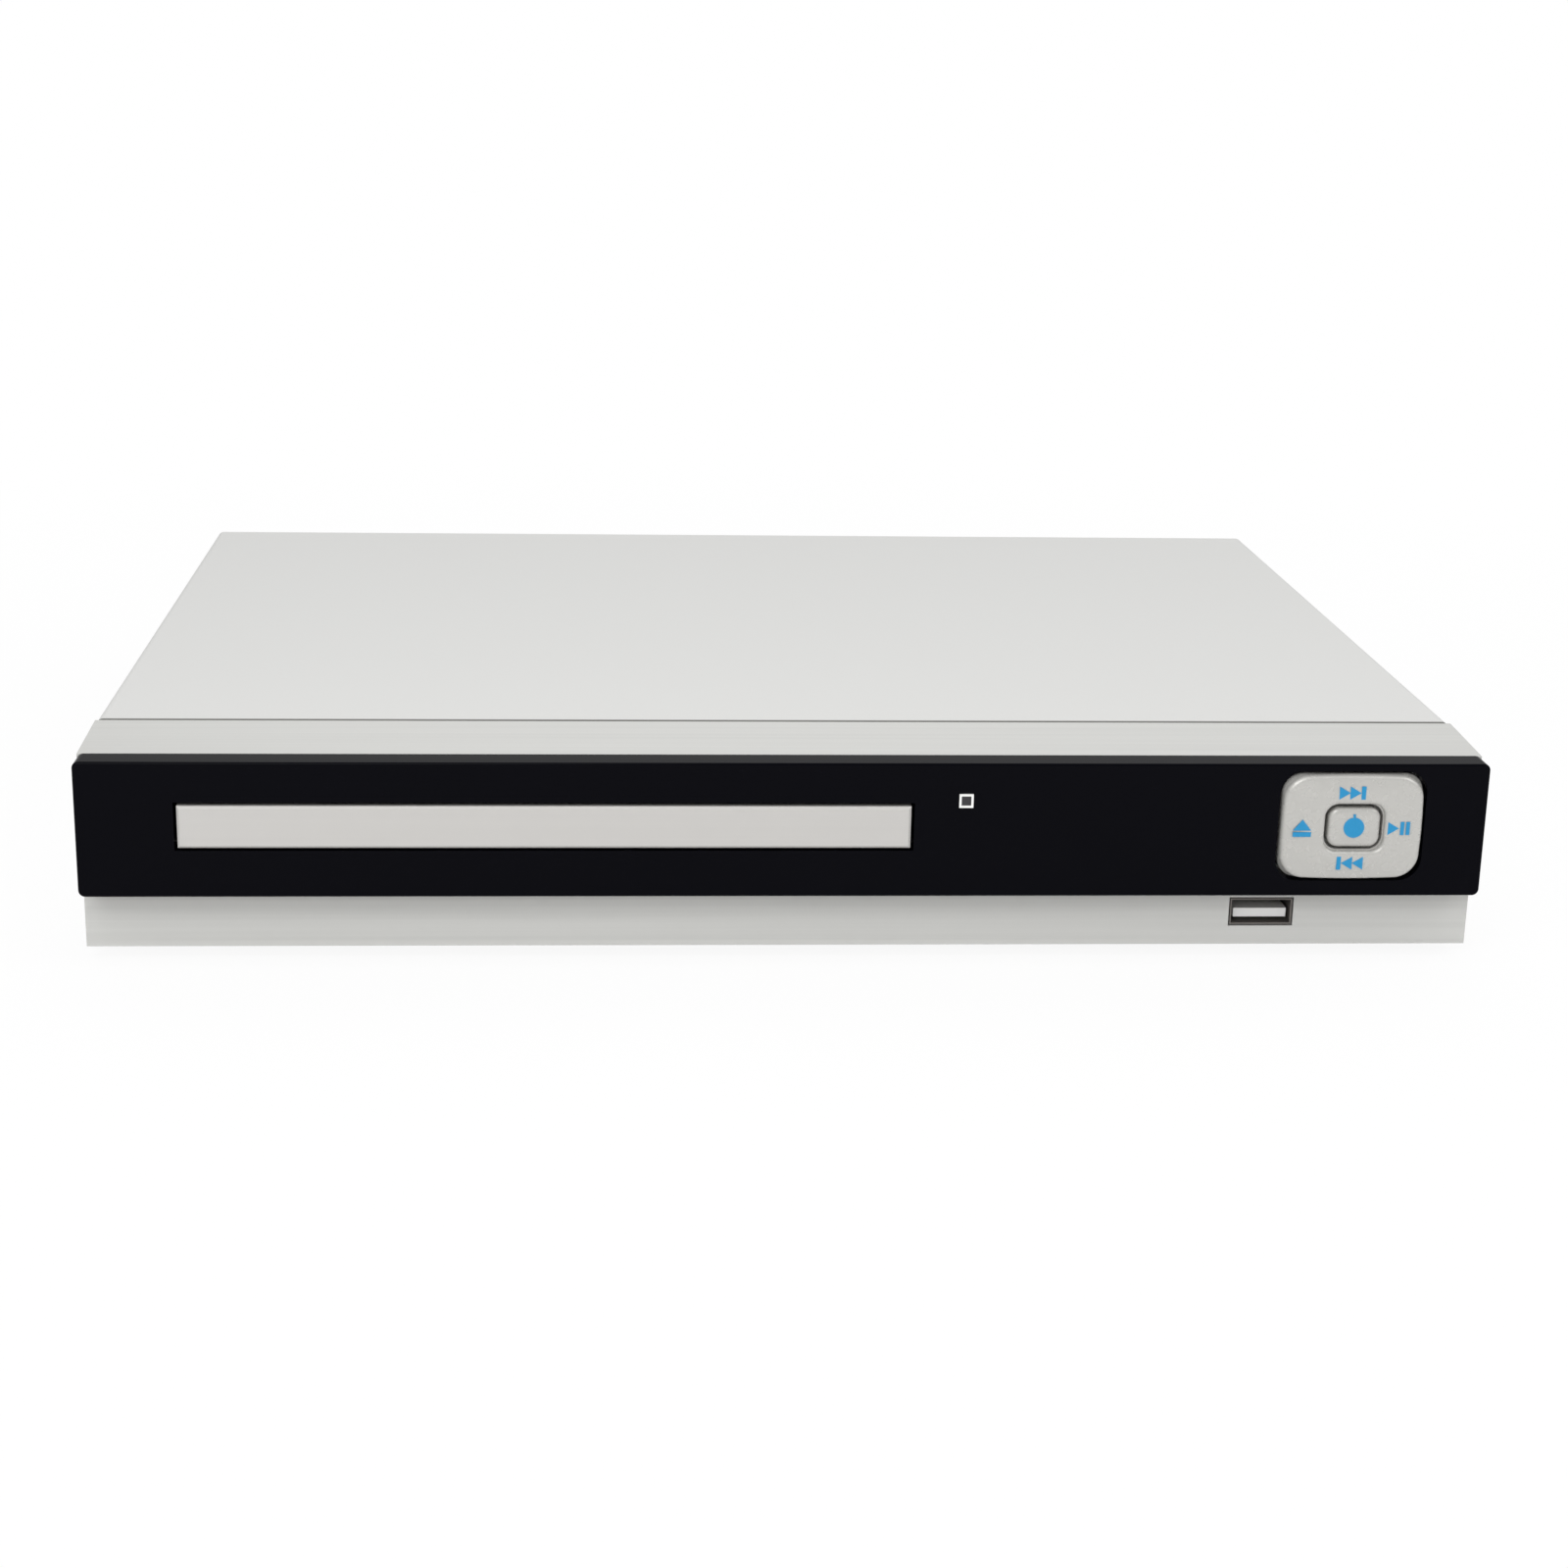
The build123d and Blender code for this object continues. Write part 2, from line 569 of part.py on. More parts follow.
def make_chassis_pan():
    floor = block(-PAN_HALF, PAN_HALF, PAN_FRONT, REAR_OUT, BASE, PAN_TOP)
    corner = HALF - WALL - FIT
    floor -= [block(-HALF, -corner, 0, SEAM_Y + SEAM_GAP, 0, TOP), block(corner, HALF, 0, SEAM_Y + SEAM_GAP, 0, TOP)]
    pan = floor
    for side in (-1, 1):
        edges = sorted((side * PAN_HALF, side * (PAN_HALF - SHEET)))
        flange = block(*edges, SEAM_Y + SEAM_GAP + FIT, REAR_IN - FIT, BASE, BASE + PAN_FLANGE)
        for y in HOOK_YS:
            z = PAN_TOP + HOOK_RISE
            flange -= block(-HALF, HALF, y - RUN, y + HOOK_LENGTH + RUN, z - RUN, z + HOOK_THICK + RUN)
        pan += flange
    pan += block(-HALF * 0.25, HALF * 0.12, REAR_IN - SHEET, REAR_IN, BASE, BASE + PAN_FLANGE)
    for share in PAN_TAB_SHARES:
        x = share * WIDTH
        pan += block(x - 7, x + 7, PAN_FRONT, PAN_FRONT + SHEET, BASE, BASE + WALL + SHEET)
        pan += block(x - 7, x + 7, PAN_FRONT - 8, PAN_FRONT + SHEET, BASE + WALL, BASE + WALL + SHEET)
    for x, y, top in standoff_places():
        pan += post(x, y, BASE, top, STANDOFF_D)
        pan -= post(x, y, BASE + SHEET / 2, top + 1, SCREW_D + 2 * SCREW_PLAY)
    vents = []
    for count in range(FLOOR_VENTS):
        x = MAIN_LEFT + 22 + count * FLOOR_VENT_PITCH
        front = DECODER_Y - FLOOR_VENT_LENGTH / 2
        vents.append(block(x, x + FLOOR_VENT_WIDTH, front, front + FLOOR_VENT_LENGTH, BASE - 1, PAN_TOP + 1))
        x = POWER_LEFT + 36 + count * FLOOR_VENT_PITCH
        front = power_y(0.2)
        rear = power_y(0.86)
        vents.append(block(x, x + FLOOR_VENT_WIDTH, front, rear, BASE - 1, PAN_TOP + 1))
    pan -= vents
    for x, y in foot_places():
        pan -= post(x, y, BASE - 1, PAN_TOP + 1, FOOT_D / 3)
    for x, z in rear_screw_places()[3:]:
        pan -= rod(x, z, REAR_IN - 4, REAR_OUT + 1, SCREW_D + 2 * SCREW_PLAY)
    return pan


def foot_places():
    front = FOOT_INSET_FRONT
    rear = BODY_DEPTH - FOOT_INSET_REAR
    side = HALF - FOOT_INSET_X
    return [(x, y) for x in (-side, side) for y in (front, rear)]


def main_board_screws():
    inset = 5.0
    xs = (MAIN_LEFT + inset + 11.0, MAIN_RIGHT - inset)
    ys = (MAIN_FRONT + inset, BOARD_REAR - 22.0)
    return [(x, y) for x in xs for y in ys]


def power_y(share):
    """A place on the power board, as a share of its depth from its front edge."""
    return POWER_FRONT + share * POWER_DEPTH


def power_board_screws():
    inset = 5.0
    xs = (INLET_X + INLET_WIDTH / 2 + 4.5, POWER_RIGHT - SCREW_HEAD_D / 2 - FIT)
    ys = (POWER_FRONT + inset, BOARD_REAR - inset)
    return [(x, y) for x in xs for y in ys]


def loader_screws():
    reach = LOADER_HALF + LUG_REACH / 2
    return [(TRAY_X + side * reach, y + LUG_LENGTH / 2) for side in (-1, 1) for y in LUG_YS]


def usb_screws():
    return [(USB_X + side * (USB_BOARD_HALF - 4), USB_BOARD_REAR - 4) for side in (-1, 1)]


def standoff_places():
    """x, y and top of every stand on the pan's floor."""
    stands = [(x, y, MAIN_BASE) for x, y in main_board_screws() + power_board_screws()]
    stands += [(x, y, LOADER_BASE) for x, y in loader_screws()]
    stands += [(x, y, USB_BOARD_TOP - BOARD_THICK) for x, y in usb_screws()]
    return stands


def make_rear_panel():
    half = PAN_HALF - SHEET - FIT
    panel = block(-half, half, REAR_IN, REAR_OUT, PAN_TOP, TOP - SHEET)
    panel += block(-half, half, REAR_IN - COVER_LIP, REAR_OUT, TOP - 2 * SHEET, TOP - SHEET)
    for side in (-1, 1):
        edges = sorted((side * half, side * (half - SHEET)))
        panel += block(*edges, REAR_IN - COVER_LIP, REAR_OUT, BASE + PAN_FLANGE + 2, TOP - SHEET)
    for x, z in rear_screw_places():
        panel -= rod(x, z, REAR_IN - 1, REAR_OUT + 1, SCREW_D + 2 * SCREW_PLAY)
    gap = RUN
    low = MAIN_TOP - gap
    for x, width, height in ((HDMI_X, HDMI_WIDTH, HDMI_HEIGHT), (SCART_X, SCART_WIDTH, SCART_HEIGHT)):
        panel -= block(x - width / 2 - gap, x + width / 2 + gap, REAR_IN - 1, REAR_OUT + 1, low,
                       MAIN_TOP + height + gap)
    inlet = INLET_WIDTH / 2 + gap
    panel -= block(INLET_X - inlet, INLET_X + inlet, REAR_IN - 1, REAR_OUT + 1, low, MAIN_TOP + INLET_HEIGHT + gap)
    for x, z in rca_places():
        panel -= rod(x, z, REAR_IN - 1, REAR_OUT + 1, RCA_D + 2 * gap)
    for count in range(FLOOR_VENTS):
        x = -HALF * 0.62 + count * FLOOR_VENT_PITCH
        panel -= block(x, x + FLOOR_VENT_WIDTH, REAR_IN - 1, REAR_OUT + 1, BASE + 18, BASE + 30)
    return panel


def rca_places():
    return [(RCA_X + side * RCA_PITCH / 2, RCA_BASE_Z + row * RCA_PITCH) for side in (-1, 1) for row in (0, 1)]


def make_front_panel():
    front = PANEL_SETBACK
    outer = side_plate([(front, BASE), (SEAM_Y, BASE), (SEAM_Y, TOP), (front, TOP - TOP_FALL)], -HALF, HALF)
    inside = HALF - WALL
    cavity = [(PANEL_BACK, BASE + WALL), (SEAM_Y + 1, BASE + WALL), (SEAM_Y + 1, TOP - WALL),
              (PANEL_BACK, TOP - TOP_FALL - WALL)]
    panel = outer - side_plate(cavity, -inside, inside)
    panel -= block(-inside, inside, front + PANEL_FOOT, SEAM_Y + 1, BASE - 1, BASE + WALL + 1)
    tongue_top = TOP - SHEET - FIT
    half = INSIDE - WALL
    panel += block(-half, half, SEAM_Y - WALL, SEAM_Y + TONGUE_LENGTH, tongue_top - TONGUE_THICK, tongue_top)
    panel -= block(TRAY_X - SLOT_HALF, TRAY_X + SLOT_HALF, front - 1, PANEL_BACK + 1, SLOT_BASE, SLOT_TOP)
    panel -= block(PAD_X - NECK_WIDTH / 2 - PAD_GAP, PAD_X + NECK_WIDTH / 2 + PAD_GAP, front - 1, PANEL_BACK + 1,
                   PAD_Z - NECK_HEIGHT / 2 - PAD_GAP, PAD_Z + NECK_HEIGHT / 2 + PAD_GAP)
    tube = WINDOW_TUBE / 2 + FIT
    panel -= block(WINDOW_X - tube, WINDOW_X + tube, front - 1, PANEL_BACK + 1, WINDOW_Z - tube, WINDOW_Z + tube)
    usb_x = USB_WIDTH / 2 + RUN
    usb_z = USB_HEIGHT / 2 + RUN
    panel -= block(USB_X - usb_x, USB_X + usb_x, front - 1, PANEL_BACK + 1, USB_Z - usb_z, USB_Z + usb_z)
    ear_x = NECK_WIDTH / 2 + PAD_GAP + RING_BAR + PAD_GAP
    for side in (-1, 1):
        edges = sorted((PAD_X + side * ear_x, PAD_X + side * (ear_x + EAR_THICK)))
        panel += block(*edges, PANEL_BACK - 0.5, RING_BACK + 0.6, PAD_Z - 3, PAD_Z + 3)
    hole = KEY_PIN_D + 2 * PIN_PLAY
    pivot = (RING_FRONT + RING_BACK) / 2
    panel -= bar(pivot, PAD_Z, PAD_X - ear_x - EAR_THICK - 1, PAD_X + ear_x + EAR_THICK + 1, hole)
    for x, z in key_post_places():
        panel += rod(x, z, PANEL_BACK - 0.5, KEY_BOARD_FRONT, STANDOFF_D)
        panel -= rod(x, z, PANEL_BACK + 2, KEY_BOARD_FRONT + 1, SCREW_D + 2 * SCREW_PLAY)
    for x in PEG_XS:
        panel -= rod(x, PEG_Z, front - 1, PANEL_BACK + 1, PEG_D + 2 * FIT)
    return panel


def key_post_places():
    return [(KEY_LEFT + 22, KEY_TOP - 6), (KEY_LEFT + 22, KEY_BOTTOM + 5), (KEY_RIGHT - 45, KEY_TOP - 6),
            (KEY_RIGHT - 45, KEY_BOTTOM + 5)]


def make_fascia_band():
    band = block(-HALF, HALF, 0, PANEL_SETBACK, BAND_BASE, BAND_TOP)
    band = fillet(band.edges().filter_by(Axis.Y), BAND_CORNER)
    band = fillet(band.faces().sort_by(Axis.Y)[0].edges(), BAND_EDGE)
    low = BAND_BASE + BAND_RIM
    high = BAND_TOP - BAND_RIM
    bays = [(-HALF + BAND_RIM, TRAY_X - SLOT_HALF - BAND_RIM), (TRAY_X + SLOT_HALF + BAND_RIM, WINDOW_X - 4),
            (WINDOW_X + 4, PAD_X - PAD_WIDTH / 2 - PAD_GAP - BAND_RIM),
            (PAD_X + PAD_WIDTH / 2 + PAD_GAP + BAND_RIM, HALF - BAND_RIM)]
    for left, right in bays:
        band -= block(left, right, WALL, PANEL_SETBACK + 1, low, high)
    under = SLOT_BASE - BAND_RIM
    band -= block(TRAY_X - SLOT_HALF, TRAY_X + SLOT_HALF, WALL, PANEL_SETBACK + 1, low, under)
    band -= block(TRAY_X - SLOT_HALF, TRAY_X + SLOT_HALF, -1, PANEL_SETBACK + 1, SLOT_BASE, SLOT_TOP)
    well = RectangleRounded(PAD_WIDTH + 2 * PAD_GAP, PAD_HEIGHT + 2 * PAD_GAP, PAD_CORNER + PAD_GAP)
    band -= Pos(PAD_X, 0, PAD_Z) * front_plate(well, -1, PANEL_SETBACK + 1)
    half = WINDOW_SIZE / 2
    band -= block(WINDOW_X - half, WINDOW_X + half, -1, PANEL_SETBACK + 1, WINDOW_Z - half, WINDOW_Z + half)
    for x in PEG_XS:
        band += rod(x, PEG_Z, WALL - 0.5, PANEL_BACK, PEG_D)
    return band


def make_window_rim():
    half = WINDOW_SIZE / 2 - FIT / 2
    hole = half - WINDOW_RIM
    rim = block(-half, half, -0.2, WALL, -half, half) - block(-hole, hole, -1, WALL + 1, -hole, hole)
    return Pos(WINDOW_X, 0, WINDOW_Z) * rim


def make_sensor_window():
    half = WINDOW_SIZE / 2 - FIT / 2 - WINDOW_RIM
    tube = WINDOW_TUBE / 2
    lens = block(-half, half, 0, PANEL_SETBACK, -half, half)
    lens += block(-tube, tube, PANEL_SETBACK, PANEL_BACK + 2, -tube, tube)
    return Pos(WINDOW_X, 0, WINDOW_Z) * lens


def make_rubber_feet():
    feet = []
    for x, y in foot_places():
        foot = fillet(post(x, y, 0, BASE, FOOT_D).edges().group_by(Axis.Z)[0], 0.8)
        feet.append(foot + post(x, y, BASE - 0.5, PAN_TOP + 1.2, FOOT_D / 3 - 2 * FIT))
    return group(feet)


def make_cover_screws():
    face_on = Rot(90, 0, 0) * screw(7.0)
    screws = [Pos(x, BODY_DEPTH, z) * Rot(0, 0, 180) * face_on for x, z in rear_screw_places()[:3]]
    screws += [Pos(x, REAR_OUT, z) * Rot(0, 0, 180) * face_on for x, z in rear_screw_places()[3:]]
    return group(screws)


# ---------------------------------------------------------------- keys
def make_keypad_carrier():
    inner_x = NECK_WIDTH / 2 + PAD_GAP
    inner_z = NECK_HEIGHT / 2 + PAD_GAP
    outer_x = inner_x + RING_BAR
    outer_z = inner_z + RING_BAR
    ring = block(-outer_x, outer_x, RING_FRONT, RING_BACK, -outer_z, outer_z)
    ring -= block(-inner_x, inner_x, RING_FRONT - 1, RING_BACK + 1, -inner_z, inner_z)
    pivot = (RING_FRONT + RING_BACK) / 2
    reach = outer_x + PAD_GAP + EAR_THICK
    for side in (-1, 1):
        ends = sorted((side * (outer_x - 0.5), side * reach))
        ring += bar(pivot, 0, *ends, KEY_PIN_D)
    ring -= post(0, pivot, -outer_z - 1, outer_z + 1, KEY_PIN_D + 2 * PIN_PLAY)
    return ring


def pusher_places():
    return [(-PUSHER_X, 0), (PUSHER_X, 0), (0, PUSHER_Z), (0, -PUSHER_Z)]


def make_direction_pad():
    pad = front_plate(RectangleRounded(PAD_WIDTH, PAD_HEIGHT, PAD_CORNER), -PAD_PROUD, PAD_BACK)
    pad = chamfer(pad.faces().sort_by(Axis.Y)[0].edges(), PAD_BEVEL)
    half_x = NECK_WIDTH / 2
    half_z = NECK_HEIGHT / 2
    pad += block(-half_x, half_x, PAD_BACK - 0.5, RING_BACK, -half_z, half_z)
    floor = POWER_BACK + POWER_TRAVEL + PAD_GAP
    shift = POWER_X_SHIFT
    well = RectangleRounded(KEY_WELL_WIDTH, KEY_WELL_HEIGHT, KEY_WELL_CORNER)
    pad -= Pos(shift, 0, 0) * front_plate(well, -PAD_PROUD - 1, floor)
    hole_x = POWER_STEM_WIDTH / 2 + PAD_GAP + RUN
    hole_z = POWER_STEM_HEIGHT / 2 + PAD_GAP + RUN
    pad -= block(shift - hole_x, shift + hole_x, floor - 1, RING_BACK + 1, -hole_z, hole_z)
    for x, z in pusher_places():
        pad += rod(x, z, RING_BACK - 0.5, RING_BACK + PUSHER_REACH, PUSHER_D)
    pivot = (RING_FRONT + RING_BACK) / 2
    reach = half_z + PAD_GAP + RING_BAR - RUN
    for side in (-1, 1):
        ends = sorted((side * (half_z - 0.5), side * reach))
        pad += post(0, pivot, *ends, KEY_PIN_D)
    return pad


def make_power_button():
    cap = front_plate(RectangleRounded(POWER_WIDTH, POWER_HEIGHT, POWER_CORNER), -POWER_PROUD, POWER_BACK)
    cap = fillet(cap.faces().sort_by(Axis.Y)[0].edges(), POWER_EDGE)
    half_x = POWER_STEM_WIDTH / 2
    half_z = POWER_STEM_HEIGHT / 2
    cap += block(-half_x, half_x, POWER_BACK - 0.5, RING_BACK + PUSHER_REACH, -half_z, half_z)
    return Pos(POWER_X_SHIFT, 0, 0) * cap


def make_tact_switches():
    half = SWITCH_SIZE / 2 - FIT
    switches = []
    for x, z in pusher_places() + [(0, 0)]:
        body = block(x - half, x + half, SWITCH_FRONT, KEY_BOARD_FRONT, z - half, z + half)
        switches.append(body + rod(x, z, PLUNGER_TIP, SWITCH_FRONT + 0.5, PLUNGER_D))
    return group(switches)


def make_key_board():
    board = block(KEY_LEFT, KEY_RIGHT, KEY_BOARD_FRONT, KEY_BOARD_FRONT + BOARD_THICK, KEY_BOTTOM, KEY_TOP)
    for x, z in key_post_places():
        board -= rod(x, z, KEY_BOARD_FRONT - 1, KEY_BOARD_FRONT + BOARD_THICK + 1, SCREW_D + 2 * SCREW_PLAY)
    return board


def make_ir_receiver():
    width = 5.6
    height = 7.0
    depth = 4.2
    body = block(WINDOW_X - width / 2, WINDOW_X + width / 2, KEY_BOARD_FRONT - depth, KEY_BOARD_FRONT,
                 WINDOW_Z - height / 2, WINDOW_Z + height / 2 - 0.6)
    return body + Pos(WINDOW_X, KEY_BOARD_FRONT - depth, WINDOW_Z) * Sphere(2.0)


# ---------------------------------------------------------------- tray
def make_tray_door():
    half = DOOR_WIDTH / 2
    door = block(-half, half, -DOOR_PROUD, DOOR_BACK, DOOR_BASE, DOOR_BASE + DOOR_HEIGHT)
    front = door.faces().sort_by(Axis.Y)[0]
    return chamfer(front.edges(), DOOR_EDGE * 0.7)


def make_disc_tray():
    tray = block(-TRAY_HALF, TRAY_HALF, DOOR_BACK, TRAY_REAR, TRAY_UNDER, TRAY_TOP)
    tray -= post(0, DISC_Y, DISC_WELL_FLOOR, TRAY_TOP + 1, DISC_WELL_D)
    tray -= post(0, DISC_Y, SMALL_WELL_FLOOR, TRAY_TOP + 1, SMALL_WELL_D)
    tray -= post(0, DISC_Y, TRAY_UNDER - 1, TRAY_TOP + 1, TRAY_SLOT)
    tray -= block(-TRAY_SLOT / 2, TRAY_SLOT / 2, DISC_Y, TRAY_REAR + 1, TRAY_UNDER - 1, TRAY_TOP + 1)
    reach = DISC_WELL_D / 2 * cos(radians(45))
    for x in (-reach, reach):
        for y in (DISC_Y - reach, DISC_Y + reach):
            tray -= post(x, y, DISC_WELL_FLOOR, TRAY_TOP + 1, FINGER_DIP_D)
    for side in (-1, 1):
        edges = sorted((side * (TRAY_HALF - 1), side * RUNNER_HALF))
        tray += block(*edges, LOADER_FRONT + 2, TRAY_REAR, TRAY_UNDER, TRAY_UNDER + RUNNER_THICK)
    teeth = rack(RACK_MODULE, RACK_FRONT, RACK_REAR, PINION_Y, RACK_BACKING)
    tray += Pos(RACK_X, 0, TRAY_UNDER - RACK_HEIGHT) * extrude(teeth, RACK_HEIGHT + 0.5)
    return tray


# ---------------------------------------------------------------- loader
def make_loader_frame():
    frame = block(-LOADER_HALF, LOADER_HALF, LOADER_REAR - LOADER_WALL, LOADER_REAR, LOADER_BASE, LOADER_TOP)
    ledge_top = TRAY_UNDER - RUN / 2
    tab_base = TRAY_UNDER + RUNNER_THICK + RUN / 2
    reach = LOADER_INSIDE - LEDGE_REACH
    for side in (-1, 1):
        wall = sorted((side * LOADER_INSIDE, side * LOADER_HALF))
        frame += block(*wall, LOADER_FRONT, LOADER_REAR, LOADER_BASE, LOADER_TOP)
        ledge = sorted((side * reach, side * (LOADER_INSIDE + 1)))
        frame += block(*ledge, LOADER_FRONT, TRAY_REAR, ledge_top - LEDGE_THICK, ledge_top)
        for y in TAB_YS:
            frame += block(*ledge, y, y + TAB_LENGTH, tab_base, tab_base + TAB_THICK)
        lug = sorted((side * (LOADER_HALF - 1), side * (LOADER_HALF + LUG_REACH)))
        for y in LUG_YS:
            frame += block(*lug, y, y + LUG_LENGTH, LOADER_BASE, LOADER_BASE + LUG_THICK)
        ear_x = LIFTER_HALF + 1
        ear = sorted((side * ear_x, side * (ear_x + PIVOT_EAR)))
        frame += block(*ear, PIVOT_Y - 5, PIVOT_Y + 5, LOADER_BASE, PIVOT_Z + 4)
    frame += block(-LOADER_INSIDE - 1, LOADER_INSIDE + 1, REAR_FLOOR_FRONT, LOADER_REAR, LOADER_BASE,
                   LOADER_BASE + LOADER_WALL)
    shelf_base = SHELF_TOP - SHELF_THICK
    frame += block(SHELF_INNER, LOADER_INSIDE + 1, LOADER_FRONT, SHELF_REAR, shelf_base, SHELF_TOP)
    bar_front = FRONT_BAR_REAR - LOADER_WALL
    bar_right = MOTOR_X - LOAD_MOTOR_D / 2 - 2
    frame += block(-LOADER_INSIDE - 1, bar_right, bar_front, FRONT_BAR_REAR, LOADER_BASE, FRONT_BAR_TOP + 1)
    frame += post(PINION_X, PINION_Y, SHELF_TOP - 1, GEAR_BASE - FIT, POST_D + 2)
    frame += post(PINION_X, PINION_Y, SHELF_TOP - 1, PINION_TOP - RUN, POST_D)
    frame += post(PULLEY_X, PINION_Y, SHELF_TOP - 1, SHELF_TOP + RUN - FIT, POST_D + 2)
    frame += post(PULLEY_X, PINION_Y, SHELF_TOP - 1, GEAR_BASE + GEAR_THICK, POST_D)
    frame -= post(MOTOR_X, PINION_Y, shelf_base - 1, SHELF_TOP + 1, LOAD_MOTOR_D / 3)
    for x, z in cam_peg_places():
        frame += rod(x, z, bar_front, CAM_Y + CAM_THICK + RUN + 1, CAM_PIN_D)
    for side in (-1, 1):
        for y in LUG_YS:
            x = side * (LOADER_HALF + LUG_REACH / 2)
            hole = post(x, y + LUG_LENGTH / 2, LOADER_BASE - 1, LOADER_BASE + LUG_THICK + 1, SCREW_D + 2 * SCREW_PLAY)
            frame -= hole
    frame -= bar(PIVOT_Y, PIVOT_Z, -LOADER_INSIDE + 2, LOADER_INSIDE - 2, PIVOT_D + 2 * PIN_PLAY)
    window = PICKUP_LENGTH
    frame -= block(LOADER_INSIDE - 1, LOADER_HALF + 1, LENS_Y - window, LENS_Y + window, LOADER_BASE - 1,
                   LOADER_BASE + 6)
    return frame


def cam_peg_places():
    """Two pegs on the front bar that the cam slide's level slots run on."""
    return [(CAM_PIN_X - 12.0, CAM_PIN_Z - 1.0), (CAM_PIN_X + 8.0, CAM_BASE + 3.6)]


def make_clamp_bridge():
    bridge = block(-LOADER_HALF, LOADER_HALF, BRIDGE_FRONT, BRIDGE_REAR, LOADER_TOP, LOADER_TOP + BRIDGE_THICK)
    bridge += post(0, DISC_Y, LOADER_TOP, LOADER_TOP + BRIDGE_THICK + 2.6, CLAMP_FLANGE_D + 6)
    bridge -= post(0, DISC_Y, LOADER_TOP + BRIDGE_THICK, TOP, CLAMP_FLANGE_D + 2)
    bridge -= post(0, DISC_Y, LOADER_TOP - 1, TOP, CLAMP_HOLE_D)
    for side in (-1, 1):
        slot_x = side * (CLAMP_FLANGE_D / 2 + 22)
        bridge -= block(slot_x - 12, slot_x + 12, BRIDGE_FRONT + 8, BRIDGE_REAR - 8, LOADER_TOP - 1, TOP)
    return bridge


def make_clamper():
    flange_base = LOADER_TOP + BRIDGE_THICK + FIT
    clamper = post(0, DISC_Y, flange_base, flange_base + CLAMP_FLANGE, CLAMP_FLANGE_D)
    clamper += post(0, DISC_Y, CLAMP_UNDER, flange_base + 0.5, CLAMP_BODY_D)
    clamper -= post(0, DISC_Y, CLAMP_UNDER - 1, CLAMP_UNDER + CLAMP_WELL, CLAMP_WELL_D)
    well = flange_base + CLAMP_FLANGE - 1.2
    return clamper - post(0, DISC_Y, well, TOP, CLAMP_WELL_D)


def pulley(x, y, across):
    """A pulley with a groove for the belt."""
    wheel = post(x, y, PULLEY_BASE, PULLEY_BASE + PULLEY_THICK, across)
    middle = PULLEY_BASE + PULLEY_THICK / 2
    half = BELT_HEIGHT / 2 + BELT_GAP
    ring = post(x, y, middle - half, middle + half, across + 1)
    return wheel - (ring - post(x, y, middle - half, middle + half, across - 2 * BELT_THICK))


def make_pulley_gear():
    wheel = pulley(0, 0, PULLEY_D) + post(0, 0, PULLEY_BASE + PULLEY_THICK - 0.5, GEAR_BASE + 0.5, 6.0)
    wheel += gear(GEAR_MODULE, SMALL_TEETH, GEAR_BASE, GEAR_BASE + GEAR_THICK, POST_D, aim=0)
    wheel -= post(0, 0, PULLEY_BASE - 1, GEAR_BASE + GEAR_THICK + 1, POST_D + 2 * PIN_PLAY)
    return Pos(PULLEY_X, PINION_Y, 0) * wheel


def make_tray_pinion():
    bore = POST_D + 2 * PIN_PLAY
    wheel = gear(GEAR_MODULE, GEAR_TEETH, GEAR_BASE, GEAR_BASE + GEAR_THICK, bore, aim=180 - 180 / GEAR_TEETH)
    wheel += gear(RACK_MODULE, PINION_TEETH, GEAR_BASE + GEAR_THICK, PINION_TOP, bore, aim=0)
    return Pos(PINION_X, PINION_Y, 0) * wheel


def make_motor_pulley():
    wheel = pulley(MOTOR_X, PINION_Y, MOTOR_PULLEY_D)
    shaft_base = SHELF_TOP - SHELF_THICK - LOAD_MOTOR_LENGTH + 3
    return wheel + post(MOTOR_X, PINION_Y, shaft_base, PULLEY_BASE + PULLEY_THICK + 0.4, MOTOR_SHAFT_D)


def make_loading_motor():
    top = SHELF_TOP - SHELF_THICK
    motor = post(MOTOR_X, PINION_Y, top - LOAD_MOTOR_LENGTH, top, LOAD_MOTOR_D)
    motor = fillet(motor.edges().group_by(Axis.Z)[0], 1.0)
    motor += post(MOTOR_X, PINION_Y, top - 0.5, top + SHELF_THICK, LOAD_MOTOR_D / 3 - 2 * FIT)
    return motor - post(MOTOR_X, PINION_Y, top - LOAD_MOTOR_LENGTH + 2, TOP, MOTOR_SHAFT_D + 2 * PIN_PLAY)


def make_drive_belt():
    inner_large = PULLEY_D / 2 - BELT_THICK + BELT_GAP
    inner_small = MOTOR_PULLEY_D / 2 - BELT_THICK + BELT_GAP
    faces = []
    for growth in (BELT_THICK, 0.0):
        large = Pos(PULLEY_X, PINION_Y) * Circle(inner_large + growth)
        small = Pos(MOTOR_X, PINION_Y) * Circle(inner_small + growth)
        faces.append(make_hull(large.edges() + small.edges()))
    middle = PULLEY_BASE + PULLEY_THICK / 2
    return Pos(0, 0, middle - BELT_HEIGHT / 2) * extrude(faces[0] - faces[1], BELT_HEIGHT)


